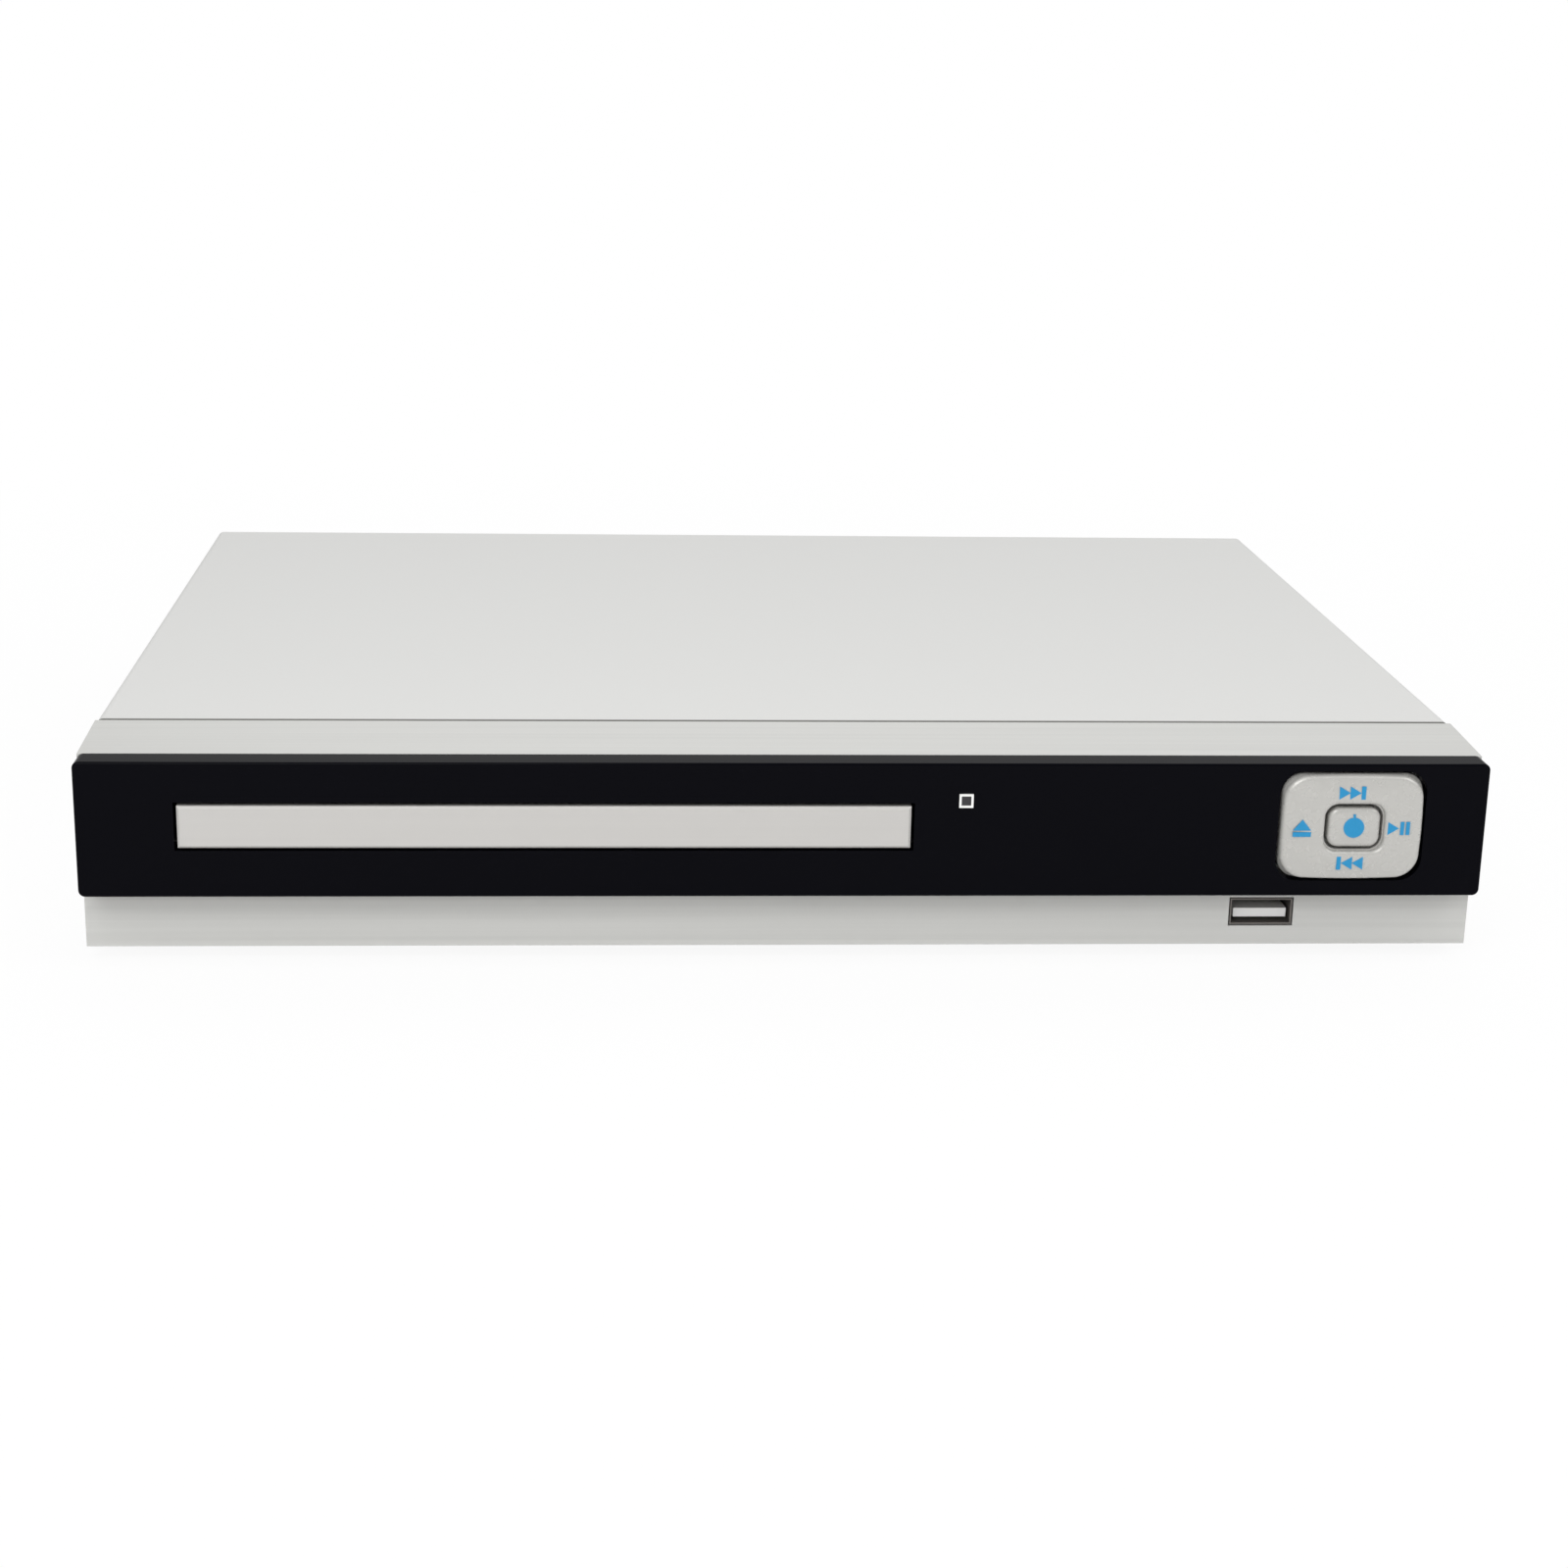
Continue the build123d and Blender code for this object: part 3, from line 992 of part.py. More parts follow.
def make_cam_slide():
    rear = CAM_Y + CAM_THICK
    plate = block(CAM_LEFT, CAM_RIGHT, CAM_Y, rear, CAM_BASE, CAM_TOP)
    plate += block(CAM_LEFT + 4, CAM_LEFT + 10, CAM_Y, rear, CAM_TOP - 1, CAM_LUG_TOP)
    drop = (PIVOT_Y - CAM_Y - CAM_THICK / 2) * sin(radians(LIFT_ANGLE))
    width = CAM_PIN_D + 2 * CAM_SLOT_PLAY
    low = (CAM_PIN_X - CAM_TRAVEL, CAM_PIN_Z - drop)
    slot = SlotCenterToCenter(sqrt(CAM_TRAVEL ** 2 + drop ** 2), width)
    middle = ((CAM_PIN_X + low[0]) / 2, (CAM_PIN_Z + low[1]) / 2)
    turned = Rot(0, 0, degrees(atan2(drop, CAM_TRAVEL))) * slot
    plate -= Pos(middle[0], 0, middle[1]) * front_plate(turned, CAM_Y - 1, rear + 1)
    for x, z in cam_peg_places():
        level = front_plate(SlotCenterToCenter(CAM_TRAVEL, width), CAM_Y - 1, rear + 1)
        plate -= Pos(x - CAM_TRAVEL / 2, 0, z) * level
    return plate


# ---------------------------------------------------------------- traverse
def make_traverse_frame():
    inner = LIFTER_HALF - LIFTER_BAR
    frame = block(-LIFTER_HALF, LIFTER_HALF, LIFTER_FRONT, LIFTER_REAR, LIFTER_BASE, LIFTER_TOP)
    front = LIFTER_FRONT + LIFTER_BAR
    rear = LIFTER_REAR - LIFTER_BAR
    frame -= block(-inner, inner, front, rear, LIFTER_BASE - 1, LIFTER_TOP + 1)
    for side in (-1, 1):
        ear = sorted((side * (LIFTER_HALF - 4), side * LIFTER_HALF))
        frame += block(*ear, LIFTER_REAR - 4, PIVOT_Y + 3, PIVOT_Z - 2.5, PIVOT_Z + 2.5)
        pin = sorted((side * (LIFTER_HALF - 1), side * (LIFTER_HALF + 1 + PIVOT_EAR)))
        frame += bar(PIVOT_Y, PIVOT_Z, *pin, PIVOT_D)
    half = CAM_PIN_D / 2 + 2
    rear_of_cam = CAM_Y + CAM_THICK + 2 * RUN
    frame += block(CAM_PIN_X - half, CAM_PIN_X + half, rear_of_cam, LIFTER_FRONT + 1, LIFTER_BASE - 1, LIFTER_TOP - 1)
    frame += rod(CAM_PIN_X, CAM_PIN_Z, CAM_PIN_FRONT, rear_of_cam + 1, CAM_PIN_D)
    return frame


def damper_places():
    x = LIFTER_HALF - LIFTER_BAR / 2
    return [(side * x, y) for side in (-1, 1) for y in (DECK_FRONT + 6, DECK_REAR - 6)]


def make_rubber_dampers():
    dampers = []
    for x, y in damper_places():
        damper = post(x, y, LIFTER_TOP, DECK_BASE, DAMPER_D) + post(x, y, DECK_BASE, DECK_TOP, DAMPER_NECK_D)
        dampers.append(damper + post(x, y, DECK_TOP, DECK_TOP + 1.4, DAMPER_D))
    return group(dampers)


def make_mechanism_deck():
    deck = block(-DECK_HALF, DECK_HALF, DECK_FRONT, DECK_REAR, DECK_BASE, DECK_TOP)
    side = PICKUP_HALF + 5 * RUN
    front = LENS_Y - PICKUP_LENGTH / 2 - 2 * RUN
    rear = LENS_Y + PICKUP_TRAVEL + PICKUP_LENGTH / 2 + 4 * RUN
    deck -= block(-side, side, front, rear, DECK_BASE - 1, DECK_TOP + 1)
    deck -= post(0, DISC_Y, DECK_BASE - 1, DECK_TOP + 1, SPINDLE_BOSS_D + 2 * FIT)
    for x, y in damper_places():
        deck -= post(x, y, DECK_BASE - 1, DECK_TOP + 1, DAMPER_NECK_D)
    deck += post(SLED_GEAR_X, SLED_GEAR_Y, SLED_LARGE_BASE - FIT, DECK_BASE + 0.5, MOTOR_SHAFT_D)
    for x in (-ROD_X, ROD_X):
        for y in (ROD_FRONT, ROD_REAR - ROD_HOLDER):
            deck += block(x - ROD_D, x + ROD_D, y, y + ROD_HOLDER, ROD_Z - 2.4, DECK_BASE + 0.5)
            deck -= rod(x, ROD_Z, y - 1, y + ROD_HOLDER + 1, ROD_D + 2 * PIN_PLAY)
    return deck


def make_spindle_motor():
    motor = post(0, DISC_Y, DECK_TOP, SPINDLE_MOTOR_TOP, SPINDLE_MOTOR_D)
    motor = fillet(motor.edges().group_by(Axis.Z)[-1], 0.8)
    motor += post(0, DISC_Y, DECK_BASE - 3, DECK_TOP + 0.5, SPINDLE_BOSS_D)
    return motor - post(0, DISC_Y, DECK_BASE - 2, TOP, SPINDLE_D + 2 * PIN_PLAY)


def make_turntable():
    table = post(0, DISC_Y, TURNTABLE_BASE, TURNTABLE_TOP, TURNTABLE_D)
    hub = post(0, DISC_Y, TURNTABLE_TOP - 0.5, HUB_TOP, HUB_D)
    table += chamfer(hub.edges().group_by(Axis.Z)[-1], 1.2)
    table += post(0, DISC_Y, SPINDLE_MOTOR_TOP + 2 * FIT, TURNTABLE_BASE + 0.5, 7.0)
    table += post(0, DISC_Y, DECK_BASE - 1.5, TURNTABLE_TOP, SPINDLE_D)
    groove = post(0, DISC_Y, TURNTABLE_TOP - 0.6, TURNTABLE_TOP + 1, TURNTABLE_D - 2)
    return table - (groove - post(0, DISC_Y, TURNTABLE_TOP - 1, TURNTABLE_TOP + 1, TURNTABLE_D - 8))


def make_turntable_ring():
    ring = post(0, DISC_Y, TURNTABLE_TOP - 0.6, TURNTABLE_TOP, TURNTABLE_D - 2)
    return ring - post(0, DISC_Y, TURNTABLE_TOP - 1, TURNTABLE_TOP + 1, TURNTABLE_D - 8)


def make_guide_rods():
    return group([rod(x, ROD_Z, ROD_FRONT, ROD_REAR, ROD_D) for x in (-ROD_X, ROD_X)])


def make_pickup_sled():
    front = LENS_Y - PICKUP_LENGTH / 2
    rear = LENS_Y + PICKUP_LENGTH / 2
    sled = block(-PICKUP_HALF, PICKUP_HALF, front, rear, PICKUP_BASE, PICKUP_TOP)
    sled += block(-PICKUP_WING, PICKUP_WING, front, rear, WING_BASE, ROD_Z + 2.0)
    bore = ROD_D + 2 * PIN_PLAY
    sled -= rod(ROD_X, ROD_Z, front - 1, rear + 1, bore)
    sled -= rod(-ROD_X, ROD_Z, front - 1, rear + 1, bore + 2 * FIT)
    half = bore / 2 + FIT
    sled -= block(-PICKUP_WING - 1, -ROD_X, front - 1, rear + 1, ROD_Z - half, ROD_Z + half)
    backing = SLED_RACK_X - DEDENDUM * SLED_MODULE - PICKUP_WING
    reach = pi * SLED_MODULE * 2
    teeth = rack(SLED_MODULE, SLED_GEAR_Y - PICKUP_TRAVEL - reach, SLED_GEAR_Y + reach, SLED_GEAR_Y, backing + 0.5)
    teeth = extrude(mirror(teeth, about=Plane.YZ), SLED_RACK_TOP - SLED_RACK_BASE)
    sled += Pos(SLED_RACK_X, 0, SLED_RACK_BASE) * teeth.solids()[0]
    return sled - lens_well()


def lens_well():
    half = LENS_CARRIER / 2 + RUN * 2
    return Pos(0, LENS_Y, PICKUP_TOP) * Box(2 * half, 2 * half, 2 * FOCUS_TRAVEL)


def make_lens_actuator():
    body = Pos(0, LENS_Y, (PICKUP_TOP + ACTUATOR_TOP) / 2)
    body = body * Box(ACTUATOR_WIDTH, ACTUATOR_LENGTH, ACTUATOR_TOP - PICKUP_TOP)
    half = LENS_CARRIER / 2 + RUN * 2
    return body - block(-half, half, LENS_Y - half, LENS_Y + half, PICKUP_TOP - 1, ACTUATOR_TOP + 1)


def make_objective_lens():
    base = PICKUP_TOP + FOCUS_TRAVEL + FIT
    half = LENS_CARRIER / 2
    carrier = block(-half, half, LENS_Y - half, LENS_Y + half, base, ACTUATOR_TOP + 0.2)
    dome = Pos(0, LENS_Y, LENS_TOP - LENS_D) * Sphere(LENS_D)
    dome &= post(0, LENS_Y, ACTUATOR_TOP, LENS_TOP + 1, LENS_D)
    return carrier + dome


def make_sled_gear():
    bore = MOTOR_SHAFT_D + 2 * PIN_PLAY
    wheel = gear(SLED_MODULE, SLED_LARGE_TEETH, SLED_LARGE_BASE, SLED_LARGE_BASE + SLED_GEAR_THICK, bore, aim=90)
    step = SLED_LARGE_BASE + SLED_GEAR_THICK
    wheel += gear(SLED_MODULE, SLED_SMALL_TEETH, step, SLED_RACK_TOP + RUN, bore, aim=180)
    return Pos(SLED_GEAR_X, SLED_GEAR_Y, 0) * wheel


def make_sled_pinion():
    aim = -90 + 180 / SLED_PINION_TEETH
    top = SLED_LARGE_BASE + SLED_GEAR_THICK
    wheel = gear(SLED_MODULE, SLED_PINION_TEETH, SLED_LARGE_BASE, top, 0.01, aim=aim)
    wheel += post(0, 0, SLED_LARGE_BASE - 4, top, MOTOR_SHAFT_D / 2)
    return Pos(SLED_GEAR_X, SLED_MOTOR_Y, 0) * wheel


def make_sled_motor():
    x = SLED_GEAR_X
    top = SLED_LARGE_BASE - RUN
    motor = post(x, SLED_MOTOR_Y, top - SLED_MOTOR_LENGTH, top, SLED_MOTOR_D)
    plate_half = SLED_MOTOR_D / 2
    rear = SLED_MOTOR_Y + plate_half
    motor += block(x - plate_half, x + plate_half, SLED_MOTOR_Y, rear + 3, top - 1, top)
    stand = 2.4
    clear = SLED_RACK_X + ADDENDUM * SLED_MODULE + RUN + stand / 2
    for leg in (clear, x + plate_half - stand / 2):
        motor += post(leg, rear + stand / 2, top - 0.5, DECK_BASE, stand)
    return motor - post(x, SLED_MOTOR_Y, top - 5, top + 1, MOTOR_SHAFT_D / 2 + 2 * PIN_PLAY)


# ---------------------------------------------------------------- boards and sockets
def make_main_board():
    board = block(MAIN_LEFT, MAIN_RIGHT, MAIN_FRONT, BOARD_REAR, MAIN_BASE, MAIN_TOP)
    board += block(MAIN_WING, MAIN_RIGHT, POWER_FRONT, BOARD_REAR, MAIN_BASE, MAIN_TOP)
    for x, y in main_board_screws():
        board -= post(x, y, MAIN_BASE - 1, MAIN_TOP + 1, SCREW_D + 2 * SCREW_PLAY)
    return board


def chip(inset, back, width, depth, height):
    """A square-cornered chip on the main board, placed from the board's right and front edges."""
    x = MAIN_RIGHT - inset
    y = MAIN_FRONT + back
    body = block(x - width / 2, x + width / 2, y - depth / 2, y + depth / 2, MAIN_TOP, MAIN_TOP + height)
    return chamfer(body.edges().group_by(Axis.Z)[-1], 0.2)


def make_board_chips():
    """The decoder under its heat sink, the memory and the smaller chips."""
    decoder = chip(DECODER_INSET, DECODER_FROM_FRONT, DECODER_SIZE, DECODER_SIZE, DECODER_HEIGHT)
    memory = chip(DECODER_INSET, 34.0, 22.0, 10.2, 1.2)
    servo = chip(27.0, 62.0, 18.0, 8.0, 1.4)
    driver = chip(19.0, 32.0, 12.0, 8.0, 1.4)
    flash = chip(27.0, 42.0, 10.0, 10.0, 1.2)
    sender = chip(63.0, 86.0, 9.0, 9.0, 1.2)
    amplifier = chip(21.0, 92.0, 8.0, 6.0, 1.4)
    return group([decoder, memory, servo, driver, flash, sender, amplifier])


def make_heat_sinks():
    """The finned one on the decoder and the bent one beside the transformer."""
    base = MAIN_TOP + DECODER_HEIGHT
    half = HEAT_SINK_SIZE / 2
    front = DECODER_Y - half
    rear = DECODER_Y + half
    decoder = block(DECODER_X - half, DECODER_X + half, front, rear, base, base + HEAT_SINK_BASE)
    for count in range(FIN_COUNT):
        x = DECODER_X - half + count * (HEAT_SINK_SIZE - HEAT_SINK_FIN) / (FIN_COUNT - 1)
        decoder += block(x, x + HEAT_SINK_FIN, front, rear, base + HEAT_SINK_BASE / 2, base + HEAT_SINK_HEIGHT)
    x = POWER_LEFT + HEAT_SINK_OFFSET
    rear = power_y(0.9)
    top = MAIN_TOP + BENT_SINK_HEIGHT
    power = block(x, x + BENT_SINK_THICK, power_y(0.35), rear, MAIN_TOP, top)
    power += block(x, x + BENT_SINK_REACH, rear - BENT_SINK_THICK, rear, MAIN_TOP, top)
    return group([decoder, power])


def can(x, y, width, height):
    """An upright capacitor with a rounded top."""
    body = post(x, y, MAIN_TOP, MAIN_TOP + height, width)
    return fillet(body.edges().group_by(Axis.Z)[-1], 0.5)


def make_capacitors():
    """Small cans on the main board, from its right and front edges, and two large ones on the power board."""
    places = ((66.0, 23.0), (58.0, 23.0), (35.0, 84.0), (35.0, 92.0), (13.0, 77.0), (7.0, 62.0), (7.0, 52.0),
              (51.0, 84.0))
    cans = [can(MAIN_RIGHT - inset, MAIN_FRONT + back, SMALL_CAN_D, SMALL_CAN_HEIGHT) for inset, back in places]
    cans.append(can(POWER_LEFT + BULK_CAN_OFFSET, POWER_MIDDLE, BULK_CAN_D, BULK_CAN_HEIGHT))
    cans.append(can(POWER_LEFT + OUTPUT_CAN_OFFSET, power_y(0.35), OUTPUT_CAN_D, OUTPUT_CAN_HEIGHT))
    return group(cans)


def ribbon_socket(middle, reach, z):
    """A low socket with a slot in its front for a flat ribbon of twice the reach, round the origin."""
    body = block(-reach, reach, 0, SOCKET_DEPTH, z, z + SOCKET_HEIGHT)
    body -= block(2 - reach, reach - 2, -1, SOCKET_DEPTH - 1.5, z + 1.6, z + 3.2)
    return middle * body


def make_board_connectors():
    """Sockets of the two ribbons and plugs of the power wires."""
    reach = RIBBON_WIDTH / 2 + 3
    pickup = ribbon_socket(Pos(MAIN_LEFT + 4, LENS_Y, 0) * Rot(0, 0, -90), reach, MAIN_TOP)
    front = ribbon_socket(Pos(RIBBON_X, MAIN_FRONT + 2, 0), reach, MAIN_TOP)
    keys_y = KEY_BOARD_FRONT + BOARD_THICK + SOCKET_DEPTH
    keys = ribbon_socket(Pos(RIBBON_X, keys_y, 0) * Rot(0, 0, 180), reach, KEY_MIDDLE - SOCKET_HEIGHT / 2)
    y0 = POWER_MIDDLE - HARNESS_LENGTH / 2
    y1 = POWER_MIDDLE + HARNESS_LENGTH / 2
    left = block(POWER_RIGHT - 12, POWER_RIGHT - 6, y0, y1, MAIN_TOP, MAIN_TOP + 6)
    right = block(MAIN_WING + 1, MAIN_WING + 3, y0, y1, MAIN_TOP, MAIN_TOP + 6)
    return group([pickup, front, keys, left, right])


def ribbon_strip(points, thick):
    """A thin strip round a list of plane points, as a face."""
    middle = FilletPolyline(*points, radius=2.0)
    return trace(middle, thick)


def make_pickup_ribbon():
    x0 = PICKUP_HALF - 8.0
    level = BASE + 3.0
    points = [(x0, PICKUP_BASE - FIT), (x0, level), (MAIN_LEFT - TRAY_X - 3, level),
              (MAIN_LEFT - TRAY_X - 3, MAIN_TOP + 2.4), (MAIN_LEFT - TRAY_X + 6.2, MAIN_TOP + 2.4)]
    strip = ribbon_strip(points, RIBBON_THICK)
    return front_plate(strip, LENS_Y - RIBBON_WIDTH / 2, LENS_Y + RIBBON_WIDTH / 2)


def make_front_ribbon():
    y0 = KEY_BOARD_FRONT + BOARD_THICK + 1.8
    high = KEY_MIDDLE - SOCKET_HEIGHT / 2 + 2.4
    low = MAIN_TOP + 2.4
    points = [(y0, high), (y0 + 16, high), (y0 + 30, low), (MAIN_FRONT + 4.4, low)]
    strip = ribbon_strip(points, RIBBON_THICK)
    return Pos(RIBBON_X - RIBBON_WIDTH / 2, 0, 0) * extrude(Plane.YZ * strip, RIBBON_WIDTH, dir=(1, 0, 0))


def make_power_harness():
    """Wires from the power board, down to the floor and up to the main board."""
    gap = MAIN_WING - POWER_RIGHT
    pitch = HARNESS_LENGTH / (WIRES + 1)
    high = MAIN_TOP + 3
    low = BASE + 3.5
    pieces = []
    for count in range(WIRES):
        y = POWER_MIDDLE - HARNESS_LENGTH / 2 + (count + 1) * pitch
        bends = [(POWER_RIGHT + share * gap, y, z) for share, z in ((0.1, high), (0.3, low), (0.7, low), (0.9, high))]
        points = [(POWER_RIGHT - 6, y, high)] + bends + [(MAIN_WING + 1, y, high)]
        path = FilletPolyline(*points, radius=WIRE_BEND)
        section = Plane(origin=points[0], z_dir=(1, 0, 0)) * Circle(WIRE_D / 2)
        pieces.append(sweep(section, path=path))
    return group(pieces)


def make_hdmi_socket():
    half = HDMI_WIDTH / 2
    front = REAR_OUT - HDMI_DEPTH + 0.6
    rear = REAR_OUT + 0.6
    shell = block(HDMI_X - half, HDMI_X + half, front, rear, MAIN_TOP, MAIN_TOP + HDMI_HEIGHT)
    shell = chamfer(shell.edges().filter_by(Axis.Y).group_by(Axis.Z)[0], 1.6)
    inner = half - 0.4
    hollow = block(HDMI_X - inner, HDMI_X + inner, front + 3, rear + 1, MAIN_TOP + 0.4, MAIN_TOP + HDMI_HEIGHT - 0.4)
    hollow = chamfer(hollow.edges().filter_by(Axis.Y).group_by(Axis.Z)[0], 1.5)
    tongue = block(HDMI_X - 5.5, HDMI_X + 5.5, front + 2.5, rear - 1, MAIN_TOP + 2.4, MAIN_TOP + 3.4)
    return shell - hollow + tongue


def make_scart_socket():
    half = SCART_WIDTH / 2
    front = REAR_OUT - SCART_DEPTH
    rear = REAR_OUT + 1.2
    body = block(SCART_X - half, SCART_X + half, front, rear, MAIN_TOP, MAIN_TOP + SCART_HEIGHT)
    body = chamfer(body.edges().filter_by(Axis.Y).group_by(Axis.X)[-1], 3.0)
    inner = half - 1.4
    ceiling = MAIN_TOP + SCART_HEIGHT - 1.4
    hollow = block(SCART_X - inner, SCART_X + inner, front + 3, rear + 1, MAIN_TOP + 1.4, ceiling)
    hollow = chamfer(hollow.edges().filter_by(Axis.Y).group_by(Axis.X)[-1], 2.4)
    insert = block(SCART_X - inner + 3, SCART_X + inner - 3, front + 2, rear - 1.5, MAIN_TOP + 4.2,
                   MAIN_TOP + SCART_HEIGHT - 4.2)
    body = body - hollow + insert
    slots = []
    for count in range(10):
        x = SCART_X - 17.5 + count * 3.9
        slots.append(block(x - 0.8, x + 0.8, rear - 5, rear, MAIN_TOP + 5.4, MAIN_TOP + 6.4))
        slots.append(block(x - 0.8, x + 0.8, rear - 5, rear, MAIN_TOP + 9.0, MAIN_TOP + 10.0))
    return body - slots


def make_rca_block():
    half = RCA_BLOCK_WIDTH / 2
    rear = REAR_IN - FIT
    front = rear - RCA_BLOCK_DEPTH
    top = RCA_BASE_Z + RCA_PITCH + RCA_D / 2 + 2
    body = block(RCA_X - half, RCA_X + half, front, rear, MAIN_TOP, top)
    for x, z in rca_places():
        body -= rod(x, z, front + 2, rear + 1, RCA_NECK_D)
    return body


def make_rca_jacks():
    front = REAR_IN - FIT - RCA_BLOCK_DEPTH + 2
    rear = BODY_DEPTH + RCA_PROUD
    jacks = []
    for x, z in rca_places():
        barrel = rod(x, z, front, REAR_OUT + 1, RCA_NECK_D) + rod(x, z, REAR_OUT + FIT, rear, RCA_D)
        jacks.append(barrel - rod(x, z, rear - 9.0, rear + 1, RCA_HOLE_D))
    return group(jacks)


def make_usb_socket():
    half_x = USB_WIDTH / 2
    half_z = USB_HEIGHT / 2
    front = PANEL_SETBACK + 0.2
    rear = front + USB_DEPTH
    shell = block(-half_x, half_x, front, rear, -half_z, half_z)
    inner_x = half_x - USB_SHELL
    inner_z = half_z - USB_SHELL
    shell -= block(-inner_x, inner_x, front - 1, rear - 4, -inner_z, inner_z)
    return Pos(USB_X, 0, USB_Z) * shell


def make_usb_tongue():
    half = USB_TONGUE / 2
    front = PANEL_SETBACK + 1.4
    rear = PANEL_SETBACK + 0.2 + USB_DEPTH - 4
    base = USB_TONGUE_TOP - USB_TONGUE_THICK
    tongue = block(-half, half, front, rear, base, base + USB_TONGUE_THICK)
    return Pos(USB_X, 0, USB_Z) * tongue


def make_usb_board():
    board = block(USB_X - USB_BOARD_HALF, USB_X + USB_BOARD_HALF, PANEL_BACK + RUN, USB_BOARD_REAR,
                  USB_BOARD_TOP - BOARD_THICK, USB_BOARD_TOP)
    for x, y in usb_screws():
        board -= post(x, y, BASE, USB_BOARD_TOP + 1, SCREW_D + 2 * SCREW_PLAY)
    return board


def make_power_board():
    board = block(POWER_LEFT, POWER_RIGHT, POWER_FRONT, BOARD_REAR, MAIN_BASE, MAIN_TOP)
    for x, y in power_board_screws():
        board -= post(x, y, MAIN_BASE - 1, MAIN_TOP + 1, SCREW_D + 2 * SCREW_PLAY)
    return board


def make_mains_inlet():
    half = INLET_WIDTH / 2
    rear = REAR_OUT + 1.0
    body = block(-half, half, rear - INLET_DEPTH, rear, MAIN_TOP, MAIN_TOP + INLET_HEIGHT)
    middle = MAIN_TOP + INLET_HEIGHT / 2
    cavity = SlotOverall(INLET_CAVITY_WIDTH, INLET_CAVITY_HEIGHT)
    body -= Pos(0, 0, middle) * front_plate(cavity, rear - INLET_CAVITY, rear + 1)
    return Pos(INLET_X, 0, 0) * body


def make_inlet_pins():
    rear = REAR_OUT + 1.0
    middle = MAIN_TOP + INLET_HEIGHT / 2
    pins = []
    for side in (-1, 1):
        pin = rod(INLET_X + side * INLET_PITCH / 2, middle, rear - INLET_CAVITY, rear - 3.5, INLET_PIN_D)
        pins.append(pin)
    return group(pins)


def make_transformer():
    """A core with its winding, from the power board's left edge and by shares of its depth."""
    left = POWER_LEFT + TRANSFORMER_OFFSET
    right = left + TRANSFORMER_WIDTH
    core = block(left + 4, right - 4, power_y(0.35), power_y(0.86), MAIN_TOP, MAIN_TOP + 17)
    core += block(left, right, power_y(0.42), power_y(0.78), MAIN_TOP + 3, MAIN_TOP + 14)
    return core


def make_line_filter():
    x = POWER_LEFT + FILTER_OFFSET
    choke = block(x, x + 14, power_y(0.42), power_y(0.88), MAIN_TOP, MAIN_TOP + 14)
    choke = fillet(choke.edges().group_by(Axis.Z)[-1], 1.0)
    x = POWER_LEFT + TRANSFORMER_OFFSET
    capacitor = block(x, x + 16, power_y(0.08), power_y(0.26), MAIN_TOP, MAIN_TOP + 12)
    return group([choke, capacitor, make_fuse()])


def make_fuse():
    """A glass fuse lying between two clips."""
    x = POWER_LEFT + FILTER_OFFSET
    y = power_y(0.15)
    z = MAIN_TOP + 3.4
    fuse = bar(y, z, x + 1, x + 10, FUSE_D)
    for clip in (x, x + 8):
        fuse += bar(y, z, clip, clip + 3, FUSE_D + 0.6)
        fuse += block(clip + 0.8, clip + 2.2, y - 1, y + 1, MAIN_TOP, MAIN_TOP + 2)
    return fuse


def make_inner_screws():
    top = MAIN_TOP
    screws = [Pos(x, y, top) * screw(6.0) for x, y in main_board_screws() + power_board_screws()]
    screws += [Pos(x, y, USB_BOARD_TOP) * screw(3.4) for x, y in usb_screws()]
    key_rear = KEY_BOARD_FRONT + BOARD_THICK
    screws += [Pos(x, key_rear, z) * Rot(-90, 0, 0) * screw(6.0) for x, z in key_post_places()]
    screws += [Pos(x, y, LOADER_BASE + LUG_THICK) * screw(6.0) for x, y in loader_screws()]
    return group(screws)


# ---------------------------------------------------------------- everything
CASE_PIECES = {
    "top_cover": make_top_cover, "chassis_pan": make_chassis_pan, "rear_panel": make_rear_panel,
    "front_panel": make_front_panel, "fascia_band": make_fascia_band, "window_rim": make_window_rim,
    "sensor_window": make_sensor_window, "rubber_feet": make_rubber_feet, "cover_screws": make_cover_screws,
    "key_board": make_key_board, "ir_receiver": make_ir_receiver,
    "usb_board": make_usb_board, "usb_socket": make_usb_socket, "usb_tongue": make_usb_tongue,
    "main_board": make_main_board, "heat_sinks": make_heat_sinks,
    "board_chips": make_board_chips, "capacitors": make_capacitors, "board_connectors": make_board_connectors,
    "front_ribbon": make_front_ribbon, "hdmi_socket": make_hdmi_socket, "scart_socket": make_scart_socket,
    "rca_block": make_rca_block, "rca_jacks": make_rca_jacks, "power_board": make_power_board,
    "mains_inlet": make_mains_inlet, "inlet_pins": make_inlet_pins, "transformer": make_transformer,
    "line_filter": make_line_filter,
    "power_harness": make_power_harness, "inner_screws": make_inner_screws,
}
